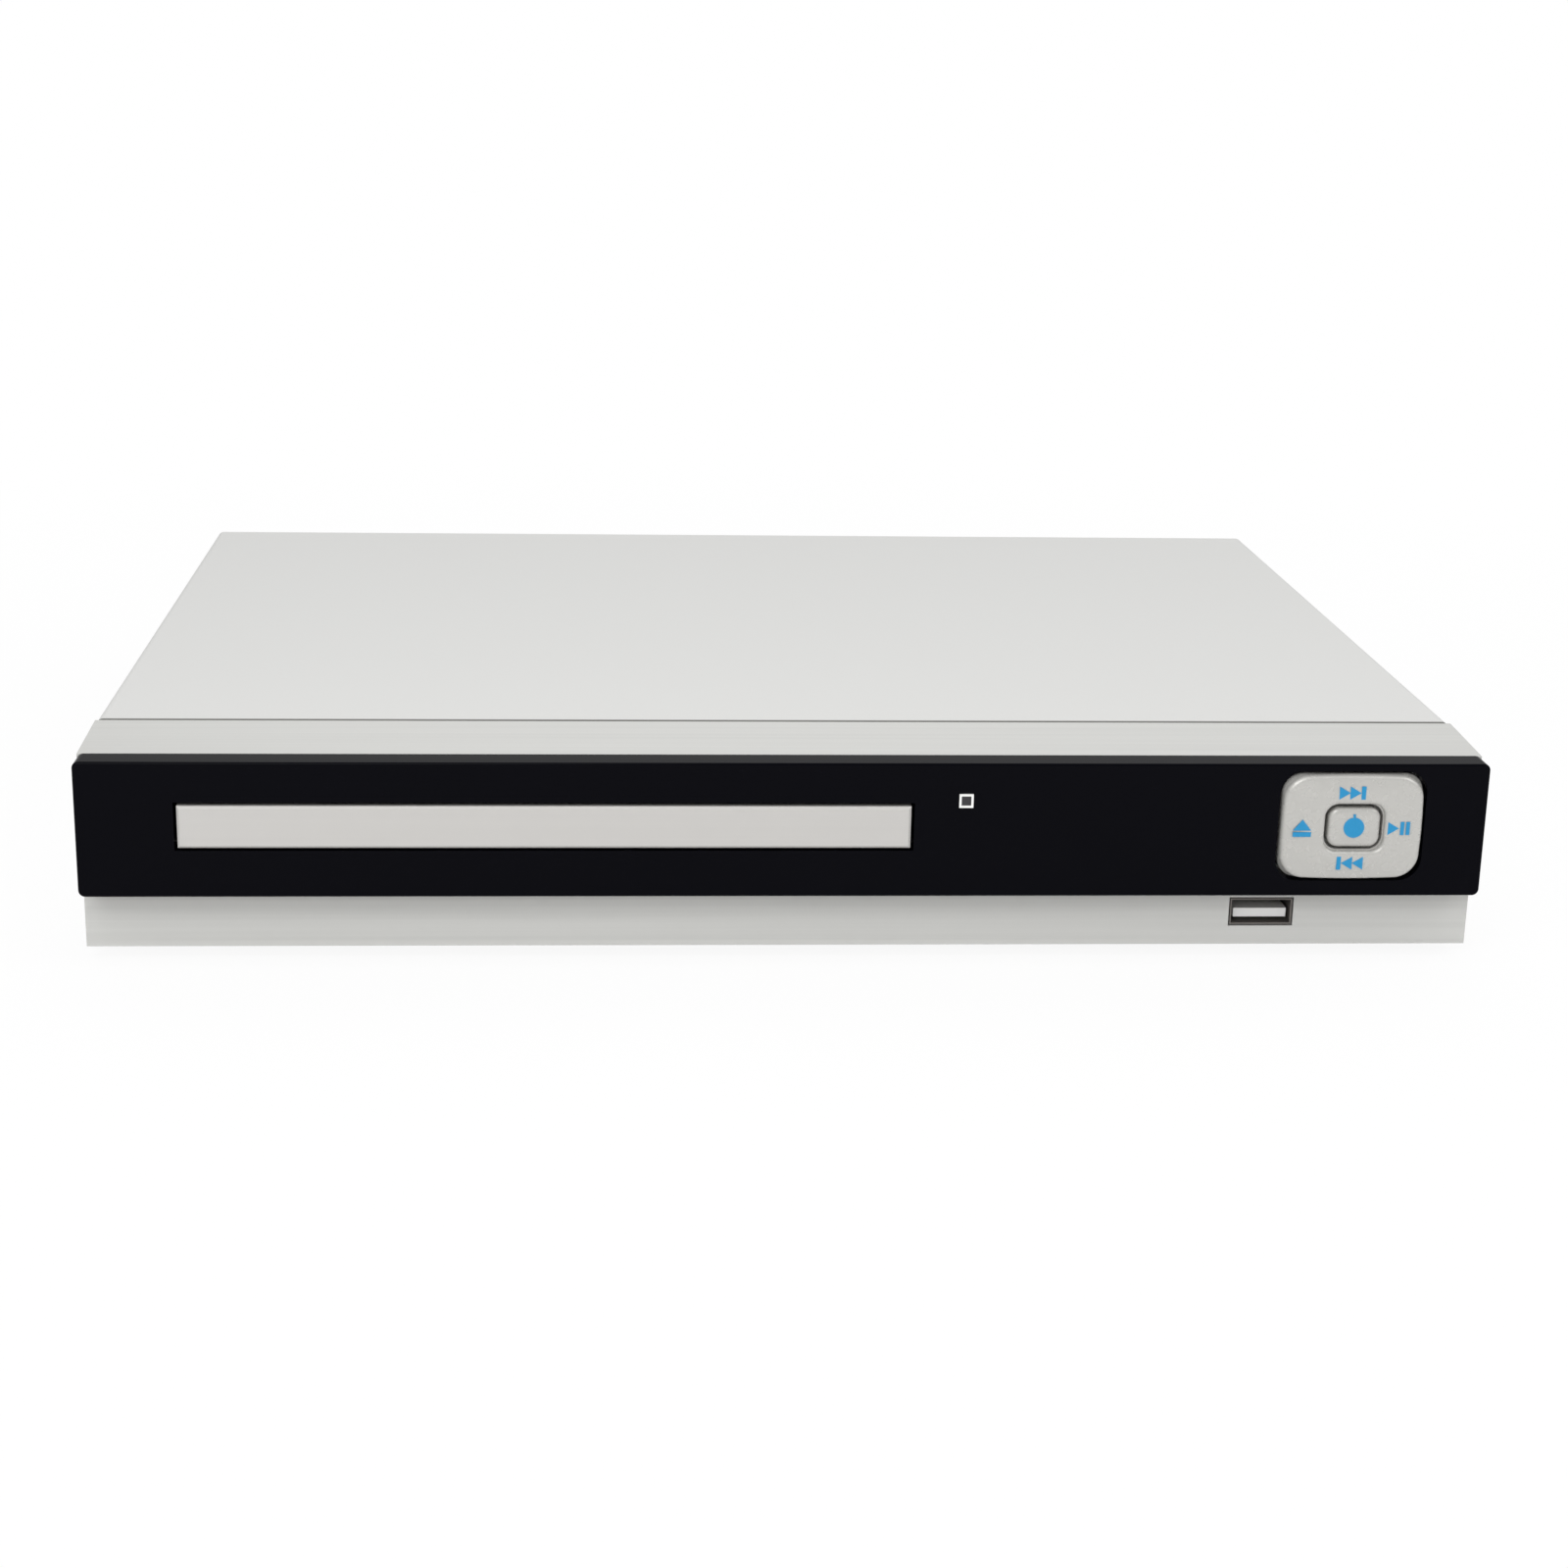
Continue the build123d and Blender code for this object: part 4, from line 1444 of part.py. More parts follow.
LOADER_PIECES = {
    "tray_door": make_tray_door, "disc_tray": make_disc_tray, "loader_frame": make_loader_frame,
    "clamp_bridge": make_clamp_bridge, "clamper": make_clamper,
    "pulley_gear": make_pulley_gear, "tray_pinion": make_tray_pinion, "motor_pulley": make_motor_pulley,
    "loading_motor": make_loading_motor, "drive_belt": make_drive_belt, "cam_slide": make_cam_slide,
    "traverse_frame": make_traverse_frame, "rubber_dampers": make_rubber_dampers,
    "mechanism_deck": make_mechanism_deck, "spindle_motor": make_spindle_motor, "turntable": make_turntable,
    "turntable_ring": make_turntable_ring, "guide_rods": make_guide_rods,
    "pickup_sled": make_pickup_sled, "lens_actuator": make_lens_actuator, "objective_lens": make_objective_lens,
    "sled_gear": make_sled_gear, "sled_pinion": make_sled_pinion, "sled_motor": make_sled_motor,
    "pickup_ribbon": make_pickup_ribbon,
}
KEY_PIECES = {
    "keypad_carrier": make_keypad_carrier, "direction_pad": make_direction_pad, "power_button": make_power_button,
    "tact_switches": make_tact_switches,
}

os.makedirs("parts", exist_ok=True)
for pieces, place in ((CASE_PIECES, CASE), (LOADER_PIECES, LOADER), (KEY_PIECES, KEYS)):
    for name, make in pieces.items():
        keep(name, make(), place)
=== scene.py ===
import json
import math

import bmesh
import bpy
from mathutils import Matrix, Vector


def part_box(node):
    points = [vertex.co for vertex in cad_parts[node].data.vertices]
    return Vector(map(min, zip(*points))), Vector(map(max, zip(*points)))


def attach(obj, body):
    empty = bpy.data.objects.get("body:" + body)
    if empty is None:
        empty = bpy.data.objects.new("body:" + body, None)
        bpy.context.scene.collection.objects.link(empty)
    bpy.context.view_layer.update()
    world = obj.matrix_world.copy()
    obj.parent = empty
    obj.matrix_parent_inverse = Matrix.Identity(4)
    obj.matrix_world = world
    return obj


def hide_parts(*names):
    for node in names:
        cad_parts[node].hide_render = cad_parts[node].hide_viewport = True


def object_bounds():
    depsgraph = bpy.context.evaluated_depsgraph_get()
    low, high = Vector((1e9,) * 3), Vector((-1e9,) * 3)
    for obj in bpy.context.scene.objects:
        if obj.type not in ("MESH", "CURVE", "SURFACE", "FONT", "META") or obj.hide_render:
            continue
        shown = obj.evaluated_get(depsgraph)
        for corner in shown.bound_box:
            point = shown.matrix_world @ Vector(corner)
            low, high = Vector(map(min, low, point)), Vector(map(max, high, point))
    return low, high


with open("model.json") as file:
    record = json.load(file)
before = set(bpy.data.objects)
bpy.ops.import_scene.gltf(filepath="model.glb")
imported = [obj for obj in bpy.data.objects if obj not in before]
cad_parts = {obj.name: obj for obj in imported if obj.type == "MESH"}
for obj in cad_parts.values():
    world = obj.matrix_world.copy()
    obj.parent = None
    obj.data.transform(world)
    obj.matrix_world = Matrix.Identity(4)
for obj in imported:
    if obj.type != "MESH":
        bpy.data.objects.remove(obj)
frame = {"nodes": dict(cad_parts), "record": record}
cad_low, cad_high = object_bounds()

MM = 0.001
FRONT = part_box("fascia_band")[0].y       # front face of the dark band

# ------------------------------------------------------------------ camera
CAMERA_BEFORE_BAND = Vector((-40.992, -524.644, 198.13)) * MM
CAMERA_PITCH = 16.584                    # degrees, as the next two
CAMERA_YAW = 3.515
CAMERA_ROLL = 1.083
CAMERA_SENSOR = 36
CAMERA_LENS = 62.26
CAMERA_SHIFT = (0.0226, -0.005)
CAMERA_CLIP = (0.01, 20)


def make_camera():
    """Looks down on the front from a little left of the middle."""
    pitch, yaw, roll = (math.radians(turn) for turn in (CAMERA_PITCH, CAMERA_YAW, CAMERA_ROLL))
    ahead = Vector((math.sin(yaw) * math.cos(pitch), math.cos(yaw) * math.cos(pitch), -math.sin(pitch)))
    level = Vector((math.cos(yaw), -math.sin(yaw), 0))
    upward = level.cross(ahead)
    right = math.cos(roll) * level + math.sin(roll) * upward
    up = -math.sin(roll) * level + math.cos(roll) * upward
    turned = Matrix((right, up, -ahead)).transposed()
    data = bpy.data.cameras.new("camera")
    data.sensor_width = CAMERA_SENSOR
    data.lens = CAMERA_LENS
    data.shift_x, data.shift_y = CAMERA_SHIFT
    data.clip_start, data.clip_end = CAMERA_CLIP
    camera = bpy.data.objects.new("camera", data)
    place = CAMERA_BEFORE_BAND + Vector((0, FRONT, 0))
    camera.matrix_world = Matrix.Translation(place) @ turned.to_4x4()
    bpy.context.scene.collection.objects.link(camera)
    bpy.context.scene.camera = camera


# ------------------------------------------------------------------ light
WHITE = (1, 1, 1, 1)
FILL_STRENGTH = 0.5                      # the world, for all but the camera
LAMPS = (                                # name, place, width, depth, power; all look at the origin
    ("key_light", (-0.45, -0.98, 0.82), 0.9, 0.9, 9.0),
    ("side_light", (0.9, -0.5, 0.8), 0.8, 0.8, 4.0),
    ("back_light", (0.1, 0.9, 1.1), 1.0, 1.0, 4.0),
    ("edge_light", (0.0, -0.3, 1.0), 0.9, 0.06, 0.8),
)


def make_light():
    """Soft white light from above and in front; the world fills in the rest."""
    world = bpy.data.worlds.new("studio")
    world.use_nodes = True
    nodes, links = world.node_tree.nodes, world.node_tree.links
    nodes.clear()
    path = nodes.new("ShaderNodeLightPath")
    fill = nodes.new("ShaderNodeBackground")
    fill.inputs["Color"].default_value = WHITE
    fill.inputs["Strength"].default_value = FILL_STRENGTH
    seen = nodes.new("ShaderNodeBackground")
    seen.inputs["Color"].default_value = WHITE
    seen.inputs["Strength"].default_value = 1.0
    mix = nodes.new("ShaderNodeMixShader")
    out = nodes.new("ShaderNodeOutputWorld")
    links.new(path.outputs["Is Camera Ray"], mix.inputs["Fac"])
    links.new(fill.outputs[0], mix.inputs[1])
    links.new(seen.outputs[0], mix.inputs[2])
    links.new(mix.outputs[0], out.inputs["Surface"])
    bpy.context.scene.world = world
    for name, place, width, depth, power in LAMPS:
        data = bpy.data.lights.new(name, "AREA")
        data.shape = "SQUARE" if width == depth else "RECTANGLE"
        data.size = width
        data.size_y = depth
        data.energy = power
        lamp = bpy.data.objects.new(name, data)
        lamp.location = place
        lamp.rotation_euler = (-Vector(place)).to_track_quat("-Z", "Y").to_euler()
        bpy.context.scene.collection.objects.link(lamp)


# ------------------------------------------------------------------ floor
FLOOR_SIZE = 12
FLOOR_BELOW = 0.0002                     # under the feet
FLOOR_COLOUR = (0.9, 0.9, 0.9, 1)
SHADOW_NEAR = 0.15                       # from the middle: the shadow shows fully up to here
SHADOW_FAR = 0.5                         # and not at all from here on
GLOW_NEAR = 0.92                         # share of plain white in what the camera sees


def make_floor():
    """A pale floor that keeps a faint shadow near the part."""
    bpy.ops.mesh.primitive_plane_add(size=FLOOR_SIZE, location=(0, 0, cad_low.z - FLOOR_BELOW))
    floor = bpy.context.object
    floor.name = "floor"
    material = bpy.data.materials.new("floor_white")
    material.use_nodes = True
    nodes, links = material.node_tree.nodes, material.node_tree.links
    nodes.clear()
    matt = nodes.new("ShaderNodeBsdfDiffuse")
    matt.inputs["Color"].default_value = FLOOR_COLOUR
    glow = nodes.new("ShaderNodeEmission")
    glow.inputs["Color"].default_value = WHITE
    path = nodes.new("ShaderNodeLightPath")
    where = nodes.new("ShaderNodeTexCoord")
    reach = nodes.new("ShaderNodeVectorMath")
    reach.operation = "LENGTH"
    fade = nodes.new("ShaderNodeMapRange")
    fade.inputs["From Min"].default_value = SHADOW_NEAR
    fade.inputs["From Max"].default_value = SHADOW_FAR
    fade.inputs["To Min"].default_value = GLOW_NEAR
    fade.inputs["To Max"].default_value = 1.0
    share = nodes.new("ShaderNodeMath")
    share.operation = "MULTIPLY"
    links.new(where.outputs["Object"], reach.inputs[0])
    links.new(reach.outputs["Value"], fade.inputs["Value"])
    links.new(fade.outputs["Result"], share.inputs[1])
    mix = nodes.new("ShaderNodeMixShader")
    out = nodes.new("ShaderNodeOutputMaterial")
    links.new(path.outputs["Is Camera Ray"], share.inputs[0])
    links.new(share.outputs[0], mix.inputs["Fac"])
    links.new(matt.outputs[0], mix.inputs[1])
    links.new(glow.outputs[0], mix.inputs[2])
    links.new(mix.outputs[0], out.inputs["Surface"])
    floor.data.materials.append(material)


# ------------------------------------------------------------------ materials
NOISE_DETAIL = 3.0
RAMP_ENDS = (0.25, 0.75)
BUMP_DEPTH = 0.00005
COAT_ROUGHNESS = 0.1
LEAST_ROUGHNESS = 0.02


def linear(colour):
    """A colour written in screen values from 0 to 255, as the renderer wants it."""
    parts = [value / 255 for value in colour]
    return [part / 12.92 if part <= 0.04045 else ((part + 0.055) / 1.055) ** 2.4 for part in parts] + [1]


def finish_material(name, colour, roughness, metallic=0.0, specular=0.5, spread=0.03,
                    grain=(400, 400, 400), bump=0.05, rough_spread=0.05, coat=0.0,
                    second=None, second_scale=60.0):
    """A surface whose colour, roughness and fine relief all come from stretched noise."""
    material = bpy.data.materials.new(name)
    material.use_nodes = True
    nodes, links = material.node_tree.nodes, material.node_tree.links
    shader = nodes["Principled BSDF"]
    shader.inputs["Metallic"].default_value = metallic
    shader.inputs["Specular IOR Level"].default_value = specular
    shader.inputs["Coat Weight"].default_value = coat
    shader.inputs["Coat Roughness"].default_value = COAT_ROUGHNESS
    where = nodes.new("ShaderNodeTexCoord")
    scale = nodes.new("ShaderNodeMapping")
    scale.inputs["Scale"].default_value = grain
    noise = nodes.new("ShaderNodeTexNoise")
    noise.inputs["Scale"].default_value = 1.0
    noise.inputs["Detail"].default_value = NOISE_DETAIL
    links.new(where.outputs["Object"], scale.inputs["Vector"])
    links.new(scale.outputs["Vector"], noise.inputs["Vector"])
    base = linear(colour)[:3]
    ramp = nodes.new("ShaderNodeValToRGB")
    dark, light = ramp.color_ramp.elements
    dark.position, light.position = RAMP_ENDS
    dark.color = [part * (1 - spread) for part in base] + [1]
    light.color = [min(1, part * (1 + spread)) for part in base] + [1]
    links.new(noise.outputs["Fac"], ramp.inputs["Fac"])
    colour_out = ramp.outputs["Color"]
    if second:
        patches = nodes.new("ShaderNodeTexNoise")
        patches.inputs["Scale"].default_value = second_scale
        links.new(where.outputs["Object"], patches.inputs["Vector"])
        blend = nodes.new("ShaderNodeMix")
        blend.data_type = "RGBA"
        blend.inputs["B"].default_value = linear(second)
        links.new(patches.outputs["Fac"], blend.inputs["Factor"])
        links.new(colour_out, blend.inputs["A"])
        colour_out = blend.outputs["Result"]
    links.new(colour_out, shader.inputs["Base Color"])
    gloss = nodes.new("ShaderNodeMapRange")
    gloss.inputs["To Min"].default_value = max(LEAST_ROUGHNESS, roughness - rough_spread)
    gloss.inputs["To Max"].default_value = min(1.0, roughness + rough_spread)
    links.new(noise.outputs["Fac"], gloss.inputs["Value"])
    links.new(gloss.outputs["Result"], shader.inputs["Roughness"])
    relief = nodes.new("ShaderNodeBump")
    relief.inputs["Strength"].default_value = bump
    relief.inputs["Distance"].default_value = BUMP_DEPTH
    links.new(noise.outputs["Fac"], relief.inputs["Height"])
    links.new(relief.outputs["Normal"], shader.inputs["Normal"])
    return material


BRUSHED = (6, 900, 900)                  # long streaks along X
FINE = (900, 900, 900)
LOOKS = {
    "cover_paint": dict(colour=(213, 213, 211), roughness=0.42, specular=0.35, spread=0.008,
                        grain=FINE, bump=0.04),
    "silver_plastic": dict(colour=(200, 200, 197), roughness=0.4, metallic=0.15, specular=0.35, spread=0.05,
                           grain=BRUSHED, bump=0.12, rough_spread=0.1),
    "black_gloss": dict(colour=(6, 6, 11), roughness=0.12, specular=0.04, spread=0.05, grain=(40, 40, 40),
                        bump=0.01, rough_spread=0.02),
    "door_silver": dict(colour=(192, 190, 187), roughness=0.36, metallic=0.15, specular=0.4, spread=0.015,
                        grain=BRUSHED, bump=0.05),
    "white_plastic": dict(colour=(236, 236, 234), roughness=0.35, spread=0.01),
    "dark_window": dict(colour=(40, 38, 42), roughness=0.1, spread=0.02),
    "key_metal": dict(colour=(184, 183, 179), roughness=0.27, metallic=0.2, spread=0.015, bump=0.0),
    "zinc_steel": dict(colour=(176, 176, 172), roughness=0.38, metallic=0.8, spread=0.06,
                       grain=(30, 300, 300), second=(164, 166, 166), second_scale=45.0),
    "black_plastic": dict(colour=(34, 34, 36), roughness=0.52, spread=0.08, grain=FINE, bump=0.3),
    "grey_plastic": dict(colour=(120, 121, 123), roughness=0.5, spread=0.05, grain=FINE, bump=0.2),
    "white_gear": dict(colour=(226, 223, 212), roughness=0.4, spread=0.02),
    "rubber": dict(colour=(30, 30, 30), roughness=0.8, spread=0.12, grain=FINE, bump=0.3),
    "steel": dict(colour=(176, 177, 178), roughness=0.24, metallic=1.0, spread=0.04, grain=(60, 60, 900)),
    "nickel": dict(colour=(205, 203, 196), roughness=0.2, metallic=1.0, spread=0.03, grain=FINE),
    "board_green": dict(colour=(30, 92, 52), roughness=0.34, spread=0.2, grain=(900, 120, 200), bump=0.15),
    "board_tan": dict(colour=(176, 142, 92), roughness=0.55, spread=0.12, grain=(300, 300, 300), bump=0.1),
    "chip_black": dict(colour=(30, 30, 32), roughness=0.45, spread=0.1, grain=FINE),
    "aluminium": dict(colour=(196, 197, 199), roughness=0.35, metallic=0.9, spread=0.05, grain=(900, 20, 20)),
    "can_sleeve": dict(colour=(34, 38, 60), roughness=0.3, spread=0.06),
    "connector_cream": dict(colour=(228, 220, 196), roughness=0.45, spread=0.03),
    "copper_tape": dict(colour=(206, 178, 70), roughness=0.35, spread=0.06),
    "ribbon_white": dict(colour=(228, 229, 230), roughness=0.4, spread=0.08, grain=(2, 900, 2)),
    "wire_red": dict(colour=(168, 34, 30), roughness=0.4, spread=0.04),
    "lens_glass": dict(colour=(120, 140, 190), roughness=0.04, specular=0.9, spread=0.02, coat=1.0),
    "screw_zinc": dict(colour=(196, 196, 192), roughness=0.28, metallic=1.0, spread=0.05),
}
# painted shade: the socket shell's metal is darkened to stand for the shade inside its recess
SOCKET_SHADE_GREY = dict(colour=(112, 108, 104), roughness=0.35, metallic=0.5, spread=0.03)
MARK_BLUE = dict(colour=(14, 136, 188), roughness=0.4, spread=0.02)
# painted shadow: the cover's paint turns to this grey at its front edge, standing for the shade in the seam
SEAM_SHADE_COLOUR = (118, 118, 114)
SEAM_REACH = 0.0011                      # from the cover's front edge to where its paint is plain again
SEAM_DARK_SHARE = 0.6                    # of that reach


def dress_nodes():
    """Gives every piece of the frame the finish of its slot."""
    finishes = {slot: finish_material(slot, **look) for slot, look in LOOKS.items()}
    for part in frame["record"]["subparts"]:
        node = frame["nodes"][part["node"]]
        node.data.materials.clear()
        node.data.materials.append(finishes[part["material_slot"]])
    return finishes


def shade_socket():
    """The shell of the front socket is darker than the other metal of its slot, as painted shade for the
    shade inside its recess.
    """
    shell = frame["nodes"]["usb_socket"].data.materials
    shell.clear()
    shell.append(finish_material("socket_painted_shade", **SOCKET_SHADE_GREY))


def shade_seam(material, edge):
    """A thin shadow line where the paint of the cover meets the front panel."""
    nodes, links = material.node_tree.nodes, material.node_tree.links
    shader = nodes["Principled BSDF"]
    paint = shader.inputs["Base Color"].links[0].from_socket
    where = nodes.new("ShaderNodeTexCoord")
    parts = nodes.new("ShaderNodeSeparateXYZ")
    near = nodes.new("ShaderNodeMapRange")
    near.inputs["From Min"].default_value = edge + SEAM_DARK_SHARE * SEAM_REACH
    near.inputs["From Max"].default_value = edge + SEAM_REACH
    shaded = nodes.new("ShaderNodeMix")
    shaded.data_type = "RGBA"
    shaded.inputs["A"].default_value = linear(SEAM_SHADE_COLOUR)
    links.new(where.outputs["Object"], parts.inputs[0])
    links.new(parts.outputs["Y"], near.inputs["Value"])
    links.new(near.outputs["Result"], shaded.inputs["Factor"])
    links.new(paint, shaded.inputs["B"])
    links.new(shaded.outputs["Result"], shader.inputs["Base Color"])


# ------------------------------------------------------------------ shapes
CORNER_STEPS = 10
SIDE_STEPS = 8


def part_point(x, y, z):
    """A place in millimetres, with y measured back from the band's front face."""
    return Vector((x * MM, FRONT + y * MM, z * MM))


def rounded_loop(width, height, corner, bulge=0.0):
    """Points of a rounded rectangle round the origin; bulge draws the corners in and curves the sides."""
    points = []
    for quarter, (sx, sz) in enumerate(((1, 1), (-1, 1), (-1, -1), (1, -1))):
        for step in range(CORNER_STEPS + 1):
            turn = math.radians(90 * quarter + 90 * step / CORNER_STEPS)
            x = sx * (width / 2 - corner) + corner * math.cos(turn)
            z = sz * (height / 2 - corner) + corner * math.sin(turn)
            points.append((x, z))
    curved = []
    for count, (x, z) in enumerate(points):
        after = points[(count + 1) % len(points)]
        pieces = SIDE_STEPS if math.dist((x, z), after) > corner else 1
        for piece in range(pieces):
            share = piece / pieces
            px, pz = x + (after[0] - x) * share, z + (after[1] - z) * share
            squeeze_x = 1 - bulge * (2 * pz / height) ** 2 / (width / 2)
            squeeze_z = 1 - bulge * (2 * px / width) ** 2 / (height / 2)
            curved.append((px * squeeze_x, pz * squeeze_z))
    return curved


def shifted(points, x):
    """The same points, moved along the front."""
    return [(px + x, pz) for px, pz in points]


def mixed(first, second, share):
    """Points between two loops: the first at 0, the second at 1."""
    return [(a[0] + (b[0] - a[0]) * share, a[1] + (b[1] - a[1]) * share) for a, b in zip(first, second)]


def lofted(mesh, rings, middle, closed_end=False):
    """Joins rings of points, each with its own y, into a skin round a middle place."""
    rows = [[mesh.verts.new(part_point(middle[0] + x, y, middle[1] + z)) for x, z in points]
            for points, y in rings]
    for before, after in zip(rows, rows[1:]):
        for count in range(len(before)):
            following = (count + 1) % len(before)
            mesh.faces.new((before[count], before[following], after[following], after[count]))
    if closed_end:
        mesh.faces.new(rows[-1])


def made_object(name, mesh, finish, body, smooth=True):
    """Turns a mesh into a piece that moves with a body."""
    data = bpy.data.meshes.new(name)
    bmesh.ops.recalc_face_normals(mesh, faces=mesh.faces)
    mesh.to_mesh(data)
    mesh.free()
    thing = bpy.data.objects.new(name, data)
    bpy.context.scene.collection.objects.link(thing)
    for face in data.polygons:
        face.use_smooth = smooth
    data.materials.append(finish)
    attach(thing, body)
    return thing


def smooth_by_angle(thing, degrees):
    """Keeps the edges sharp that turn by more than an angle."""
    data = thing.data
    if "sharp_edge" in data.attributes:
        sharp = data.attributes["sharp_edge"]
    else:
        sharp = data.attributes.new("sharp_edge", "BOOLEAN", "EDGE")
    limit = math.radians(degrees)
    mesh = bmesh.new()
    mesh.from_mesh(data)
    flags = [len(edge.link_faces) != 2 or edge.calc_face_angle(0) > limit for edge in mesh.edges]
    mesh.free()
    sharp.data.foreach_set("value", flags)


# ------------------------------------------------------------------ keys, in mm; y is 0 at the band's front
PAD_LOW, PAD_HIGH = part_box("direction_pad")
PAD_MIDDLE = ((PAD_LOW.x + PAD_HIGH.x) / 2 / MM, (PAD_LOW.z + PAD_HIGH.z) / 2 / MM)
PAD_SIZE = (29.4, 22.4)
PAD_CORNER = 4.2
PAD_CURVED_CORNER = 4.6
PAD_BULGE = 0.45
PAD_CUT = 1.0                            # the domed fronts begin this far back
PAD_CURVE_Y = 0.2
PAD_RIM_Y = -1.15
PAD_RIM_SHARE = 0.13                     # of the way in to the lip
PAD_TOP_Y = -1.55
WELL_SHIFT = 0.4
WELL_SIZE = (12.5, 10.2)
WELL_CORNER = 2.8
LIP_WIDTH = 0.75
GROOVE_Y = -0.2                          # floor of the groove round the button
GROOVE_CLEARANCE = 0.65                  # round the button, enough for the pad's tilt
CAP_SIZE = (10.8, 8.4)
CAP_CORNER = 2.2
CAP_SIDE_Y = -0.3                        # where the straight side of the button ends
CAP_ROUNDING = 1.0
CAP_ROUND_RISE = 0.85
CAP_RIM_Y = -1.15
CAP_DOME_RISE = 0.24
CAP_MIDDLE_SHARE = 0.02
ROUND_STEPS = 6
DOME_STEPS = 10
CAP_DOME_STEPS = 5
SHARP_ANGLE = 40
QUARTER = math.pi / 2


def pad_face_y(share):
    """The dome of the pad: from its rim (0) to the well's lip (1)."""
    return PAD_RIM_Y + (PAD_TOP_Y - PAD_RIM_Y) * math.sin(share * QUARTER)


def copied_behind(mesh, node, y):
    """Copies what lies behind a level of one piece."""
    mesh.from_mesh(frame["nodes"][node].data)
    geometry = mesh.verts[:] + mesh.edges[:] + mesh.faces[:]
    bmesh.ops.bisect_plane(mesh, geom=geometry, plane_co=part_point(0, y, 0), plane_no=(0, -1, 0),
                           clear_outer=True)


def make_pad():
    """The direction pad with a domed front, a lip and a groove round the button."""
    mesh = bmesh.new()
    copied_behind(mesh, "direction_pad", PAD_CUT)
    outer = rounded_loop(*PAD_SIZE, PAD_CORNER)
    curved = rounded_loop(*PAD_SIZE, PAD_CURVED_CORNER, bulge=PAD_BULGE)
    lip = shifted(rounded_loop(WELL_SIZE[0] + 2 * LIP_WIDTH, WELL_SIZE[1] + 2 * LIP_WIDTH,
                               WELL_CORNER + LIP_WIDTH), WELL_SHIFT)
    well = shifted(rounded_loop(*WELL_SIZE, WELL_CORNER), WELL_SHIFT)
    floor = shifted(rounded_loop(CAP_SIZE[0] + 2 * GROOVE_CLEARANCE, CAP_SIZE[1] + 2 * GROOVE_CLEARANCE,
                                 CAP_CORNER + GROOVE_CLEARANCE), WELL_SHIFT)
    rings = [(outer, PAD_CUT), (curved, PAD_CURVE_Y)]
    for step in range(ROUND_STEPS + 1):
        turn = step / ROUND_STEPS * QUARTER
        rings.append((mixed(curved, lip, PAD_RIM_SHARE * (1 - math.cos(turn))), PAD_RIM_Y * math.sin(turn)))
    for step in range(1, DOME_STEPS + 1):
        share = step / DOME_STEPS
        rings.append((mixed(curved, lip, PAD_RIM_SHARE + (1 - PAD_RIM_SHARE) * share), pad_face_y(share)))
    for step in range(1, ROUND_STEPS + 1):
        turn = step / ROUND_STEPS * QUARTER
        rings.append((mixed(lip, well, math.sin(turn)), PAD_TOP_Y + LIP_WIDTH * (1 - math.cos(turn))))
    rings += [(well, GROOVE_Y), (floor, GROOVE_Y), (floor, PAD_CUT)]
    lofted(mesh, rings, PAD_MIDDLE)
    pad = made_object("pad_domed", mesh, FINISH["key_metal"], "pad")
    smooth_by_angle(pad, SHARP_ANGLE)
    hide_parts("direction_pad")


def make_cap():
    """The power button with rounded edges and a slight dome."""
    mesh = bmesh.new()
    copied_behind(mesh, "power_button", PAD_CUT)
    outer = rounded_loop(*CAP_SIZE, CAP_CORNER)
    inner = rounded_loop(CAP_SIZE[0] - 2 * CAP_ROUNDING, CAP_SIZE[1] - 2 * CAP_ROUNDING,
                         CAP_CORNER - CAP_ROUNDING)
    centre = [(x * CAP_MIDDLE_SHARE, z * CAP_MIDDLE_SHARE) for x, z in inner]
    rings = [(outer, PAD_CUT), (outer, CAP_SIDE_Y)]
    for step in range(1, ROUND_STEPS + 1):
        turn = step / ROUND_STEPS * QUARTER
        rings.append((mixed(outer, inner, 1 - math.cos(turn)), CAP_SIDE_Y - CAP_ROUND_RISE * math.sin(turn)))
    for step in range(1, CAP_DOME_STEPS + 1):
        share = step / CAP_DOME_STEPS
        rings.append((mixed(inner, centre, share), CAP_RIM_Y - CAP_DOME_RISE * math.sin(share * QUARTER)))
    lofted(mesh, rings, (PAD_MIDDLE[0] + WELL_SHIFT, PAD_MIDDLE[1]), closed_end=True)
    cap = made_object("power_cap", mesh, FINISH["key_metal"], "power_button")
    smooth_by_angle(cap, SHARP_ANGLE)
    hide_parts("power_button")


# ------------------------------------------------------------------ marks on the keys, in mm
MARK_PROUD = 0.03                        # before the pad's highest level
MARK_DEPTH = 0.12
MARKS_SHIFT = -0.5                       # of all four, from the pad's middle
MARK_HALF = 1.4                          # half the height of arrows and bars
ARROW_REACH = 2.3
SKIP_X = 1.95                            # from the middle of a skip mark to its outer arrow and its bar
SKIP_INNER_X = 0.3
SKIP_BAR = 0.9
NEXT_PLACE = (0.2, 7.6)
PREVIOUS_PLACE = (0.0, -7.5)
EJECT_PLACE = (-10.1, -0.1)
EJECT_HALF = 1.9
EJECT_FOOT = -0.35
EJECT_TIP = 2.0
EJECT_BAR_Z = -1.2
EJECT_BAR_HALF = 0.5
PLAY_PLACE = (10.1, 0.0)
PLAY_ARROW_X = -1.2
PAUSE_BARS_X = (0.65, 1.85)
PAUSE_BAR = 0.8
POWER_MARK_SHIFT = (-0.2, 0.1)
POWER_MARK_RADIUS = 2.15
POWER_MARK_TURNS = range(105, 436, 10)   # degrees
POWER_MARK_Y = -1.43
POWER_STROKE_Y = -1.41
POWER_MARK_DEPTH = 0.3
POWER_STROKE_Z = 2.1
POWER_STROKE_WIDTH = 0.5
POWER_STROKE_HALF = 0.75


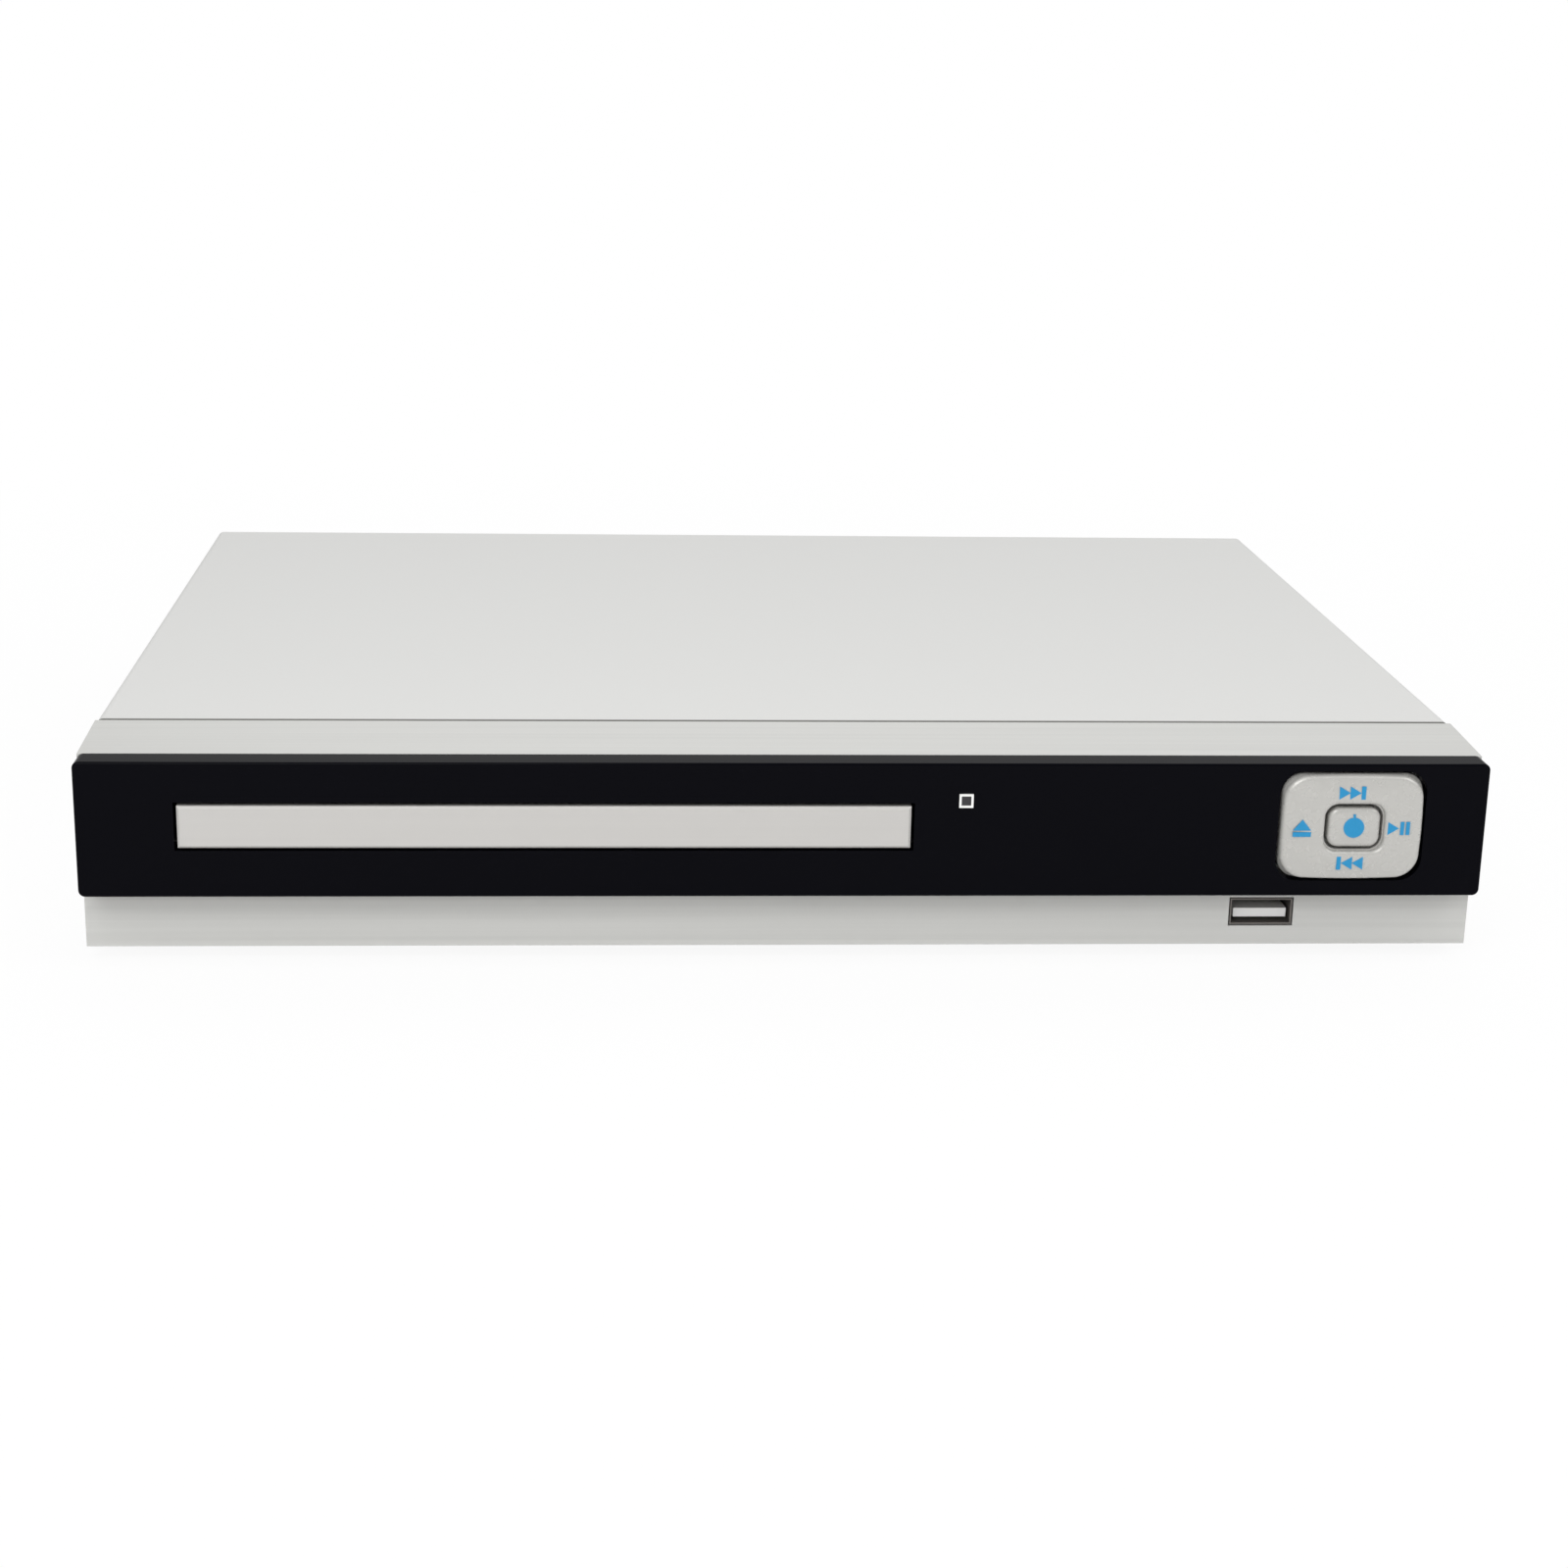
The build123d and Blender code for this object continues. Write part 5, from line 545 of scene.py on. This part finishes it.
def flat_shape(mesh, points, y, depth=MARK_DEPTH):
    """A thin inlay with its face at y."""
    front = [mesh.verts.new(part_point(x, y, z)) for x, z in points]
    back = [mesh.verts.new(part_point(x, y + depth, z)) for x, z in points]
    mesh.faces.new(front)
    for count in range(len(points)):
        following = (count + 1) % len(points)
        mesh.faces.new((front[count], back[count], back[following], front[following]))


def arrow(x, z, way):
    """Points to the right for way 1, to the left for -1."""
    return [(x - way * ARROW_REACH / 2, z - MARK_HALF), (x + way * ARROW_REACH / 2, z),
            (x - way * ARROW_REACH / 2, z + MARK_HALF)]


def upright(x, z, width, half=MARK_HALF):
    """A rectangle round its middle."""
    return [(x - width / 2, z - half), (x + width / 2, z - half),
            (x + width / 2, z + half), (x - width / 2, z + half)]


def make_pad_marks(blue):
    """Next, previous, eject and play or pause."""
    middle_x, middle_z = PAD_MIDDLE[0] + MARKS_SHIFT, PAD_MIDDLE[1]
    shapes = []
    x, z = middle_x + NEXT_PLACE[0], middle_z + NEXT_PLACE[1]
    shapes += [arrow(x - SKIP_X, z, 1), arrow(x + SKIP_INNER_X, z, 1), upright(x + SKIP_X, z, SKIP_BAR)]
    x, z = middle_x + PREVIOUS_PLACE[0], middle_z + PREVIOUS_PLACE[1]
    shapes += [upright(x - SKIP_X, z, SKIP_BAR), arrow(x - SKIP_INNER_X, z, -1), arrow(x + SKIP_X, z, -1)]
    x, z = middle_x + EJECT_PLACE[0], middle_z + EJECT_PLACE[1]
    shapes.append([(x - EJECT_HALF, z + EJECT_FOOT), (x + EJECT_HALF, z + EJECT_FOOT), (x, z + EJECT_TIP)])
    shapes.append(upright(x, z + EJECT_BAR_Z, 2 * EJECT_HALF, EJECT_BAR_HALF))
    x, z = middle_x + PLAY_PLACE[0], middle_z + PLAY_PLACE[1]
    shapes.append(arrow(x + PLAY_ARROW_X, z, 1))
    shapes += [upright(x + bar, z, PAUSE_BAR) for bar in PAUSE_BARS_X]
    mesh = bmesh.new()
    for shape in shapes:
        flat_shape(mesh, shape, PAD_TOP_Y - MARK_PROUD)
    made_object("pad_icons", mesh, blue, "pad", smooth=False)


def make_power_mark(blue):
    """A disc with a short stroke at its top."""
    x = PAD_MIDDLE[0] + WELL_SHIFT + POWER_MARK_SHIFT[0]
    z = PAD_MIDDLE[1] + POWER_MARK_SHIFT[1]
    disc = [(x + POWER_MARK_RADIUS * math.cos(math.radians(turn)),
             z + POWER_MARK_RADIUS * math.sin(math.radians(turn))) for turn in POWER_MARK_TURNS]
    stroke = upright(x, z + POWER_STROKE_Z, POWER_STROKE_WIDTH, POWER_STROKE_HALF)
    mesh = bmesh.new()
    flat_shape(mesh, disc, POWER_MARK_Y, depth=POWER_MARK_DEPTH)
    flat_shape(mesh, stroke, POWER_STROKE_Y, depth=POWER_MARK_DEPTH)
    made_object("power_icon", mesh, blue, "power_button", smooth=False)


# ------------------------------------------------------------------ the scene
bpy.context.scene.view_settings.view_transform = "Standard"
make_camera()
make_light()
make_floor()
FINISH = dress_nodes()
shade_seam(FINISH["cover_paint"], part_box("top_cover")[0].y)
shade_socket()
make_pad()
make_cap()
MARK_FINISH = finish_material("icon_blue", **MARK_BLUE)
make_pad_marks(MARK_FINISH)
make_power_mark(MARK_FINISH)
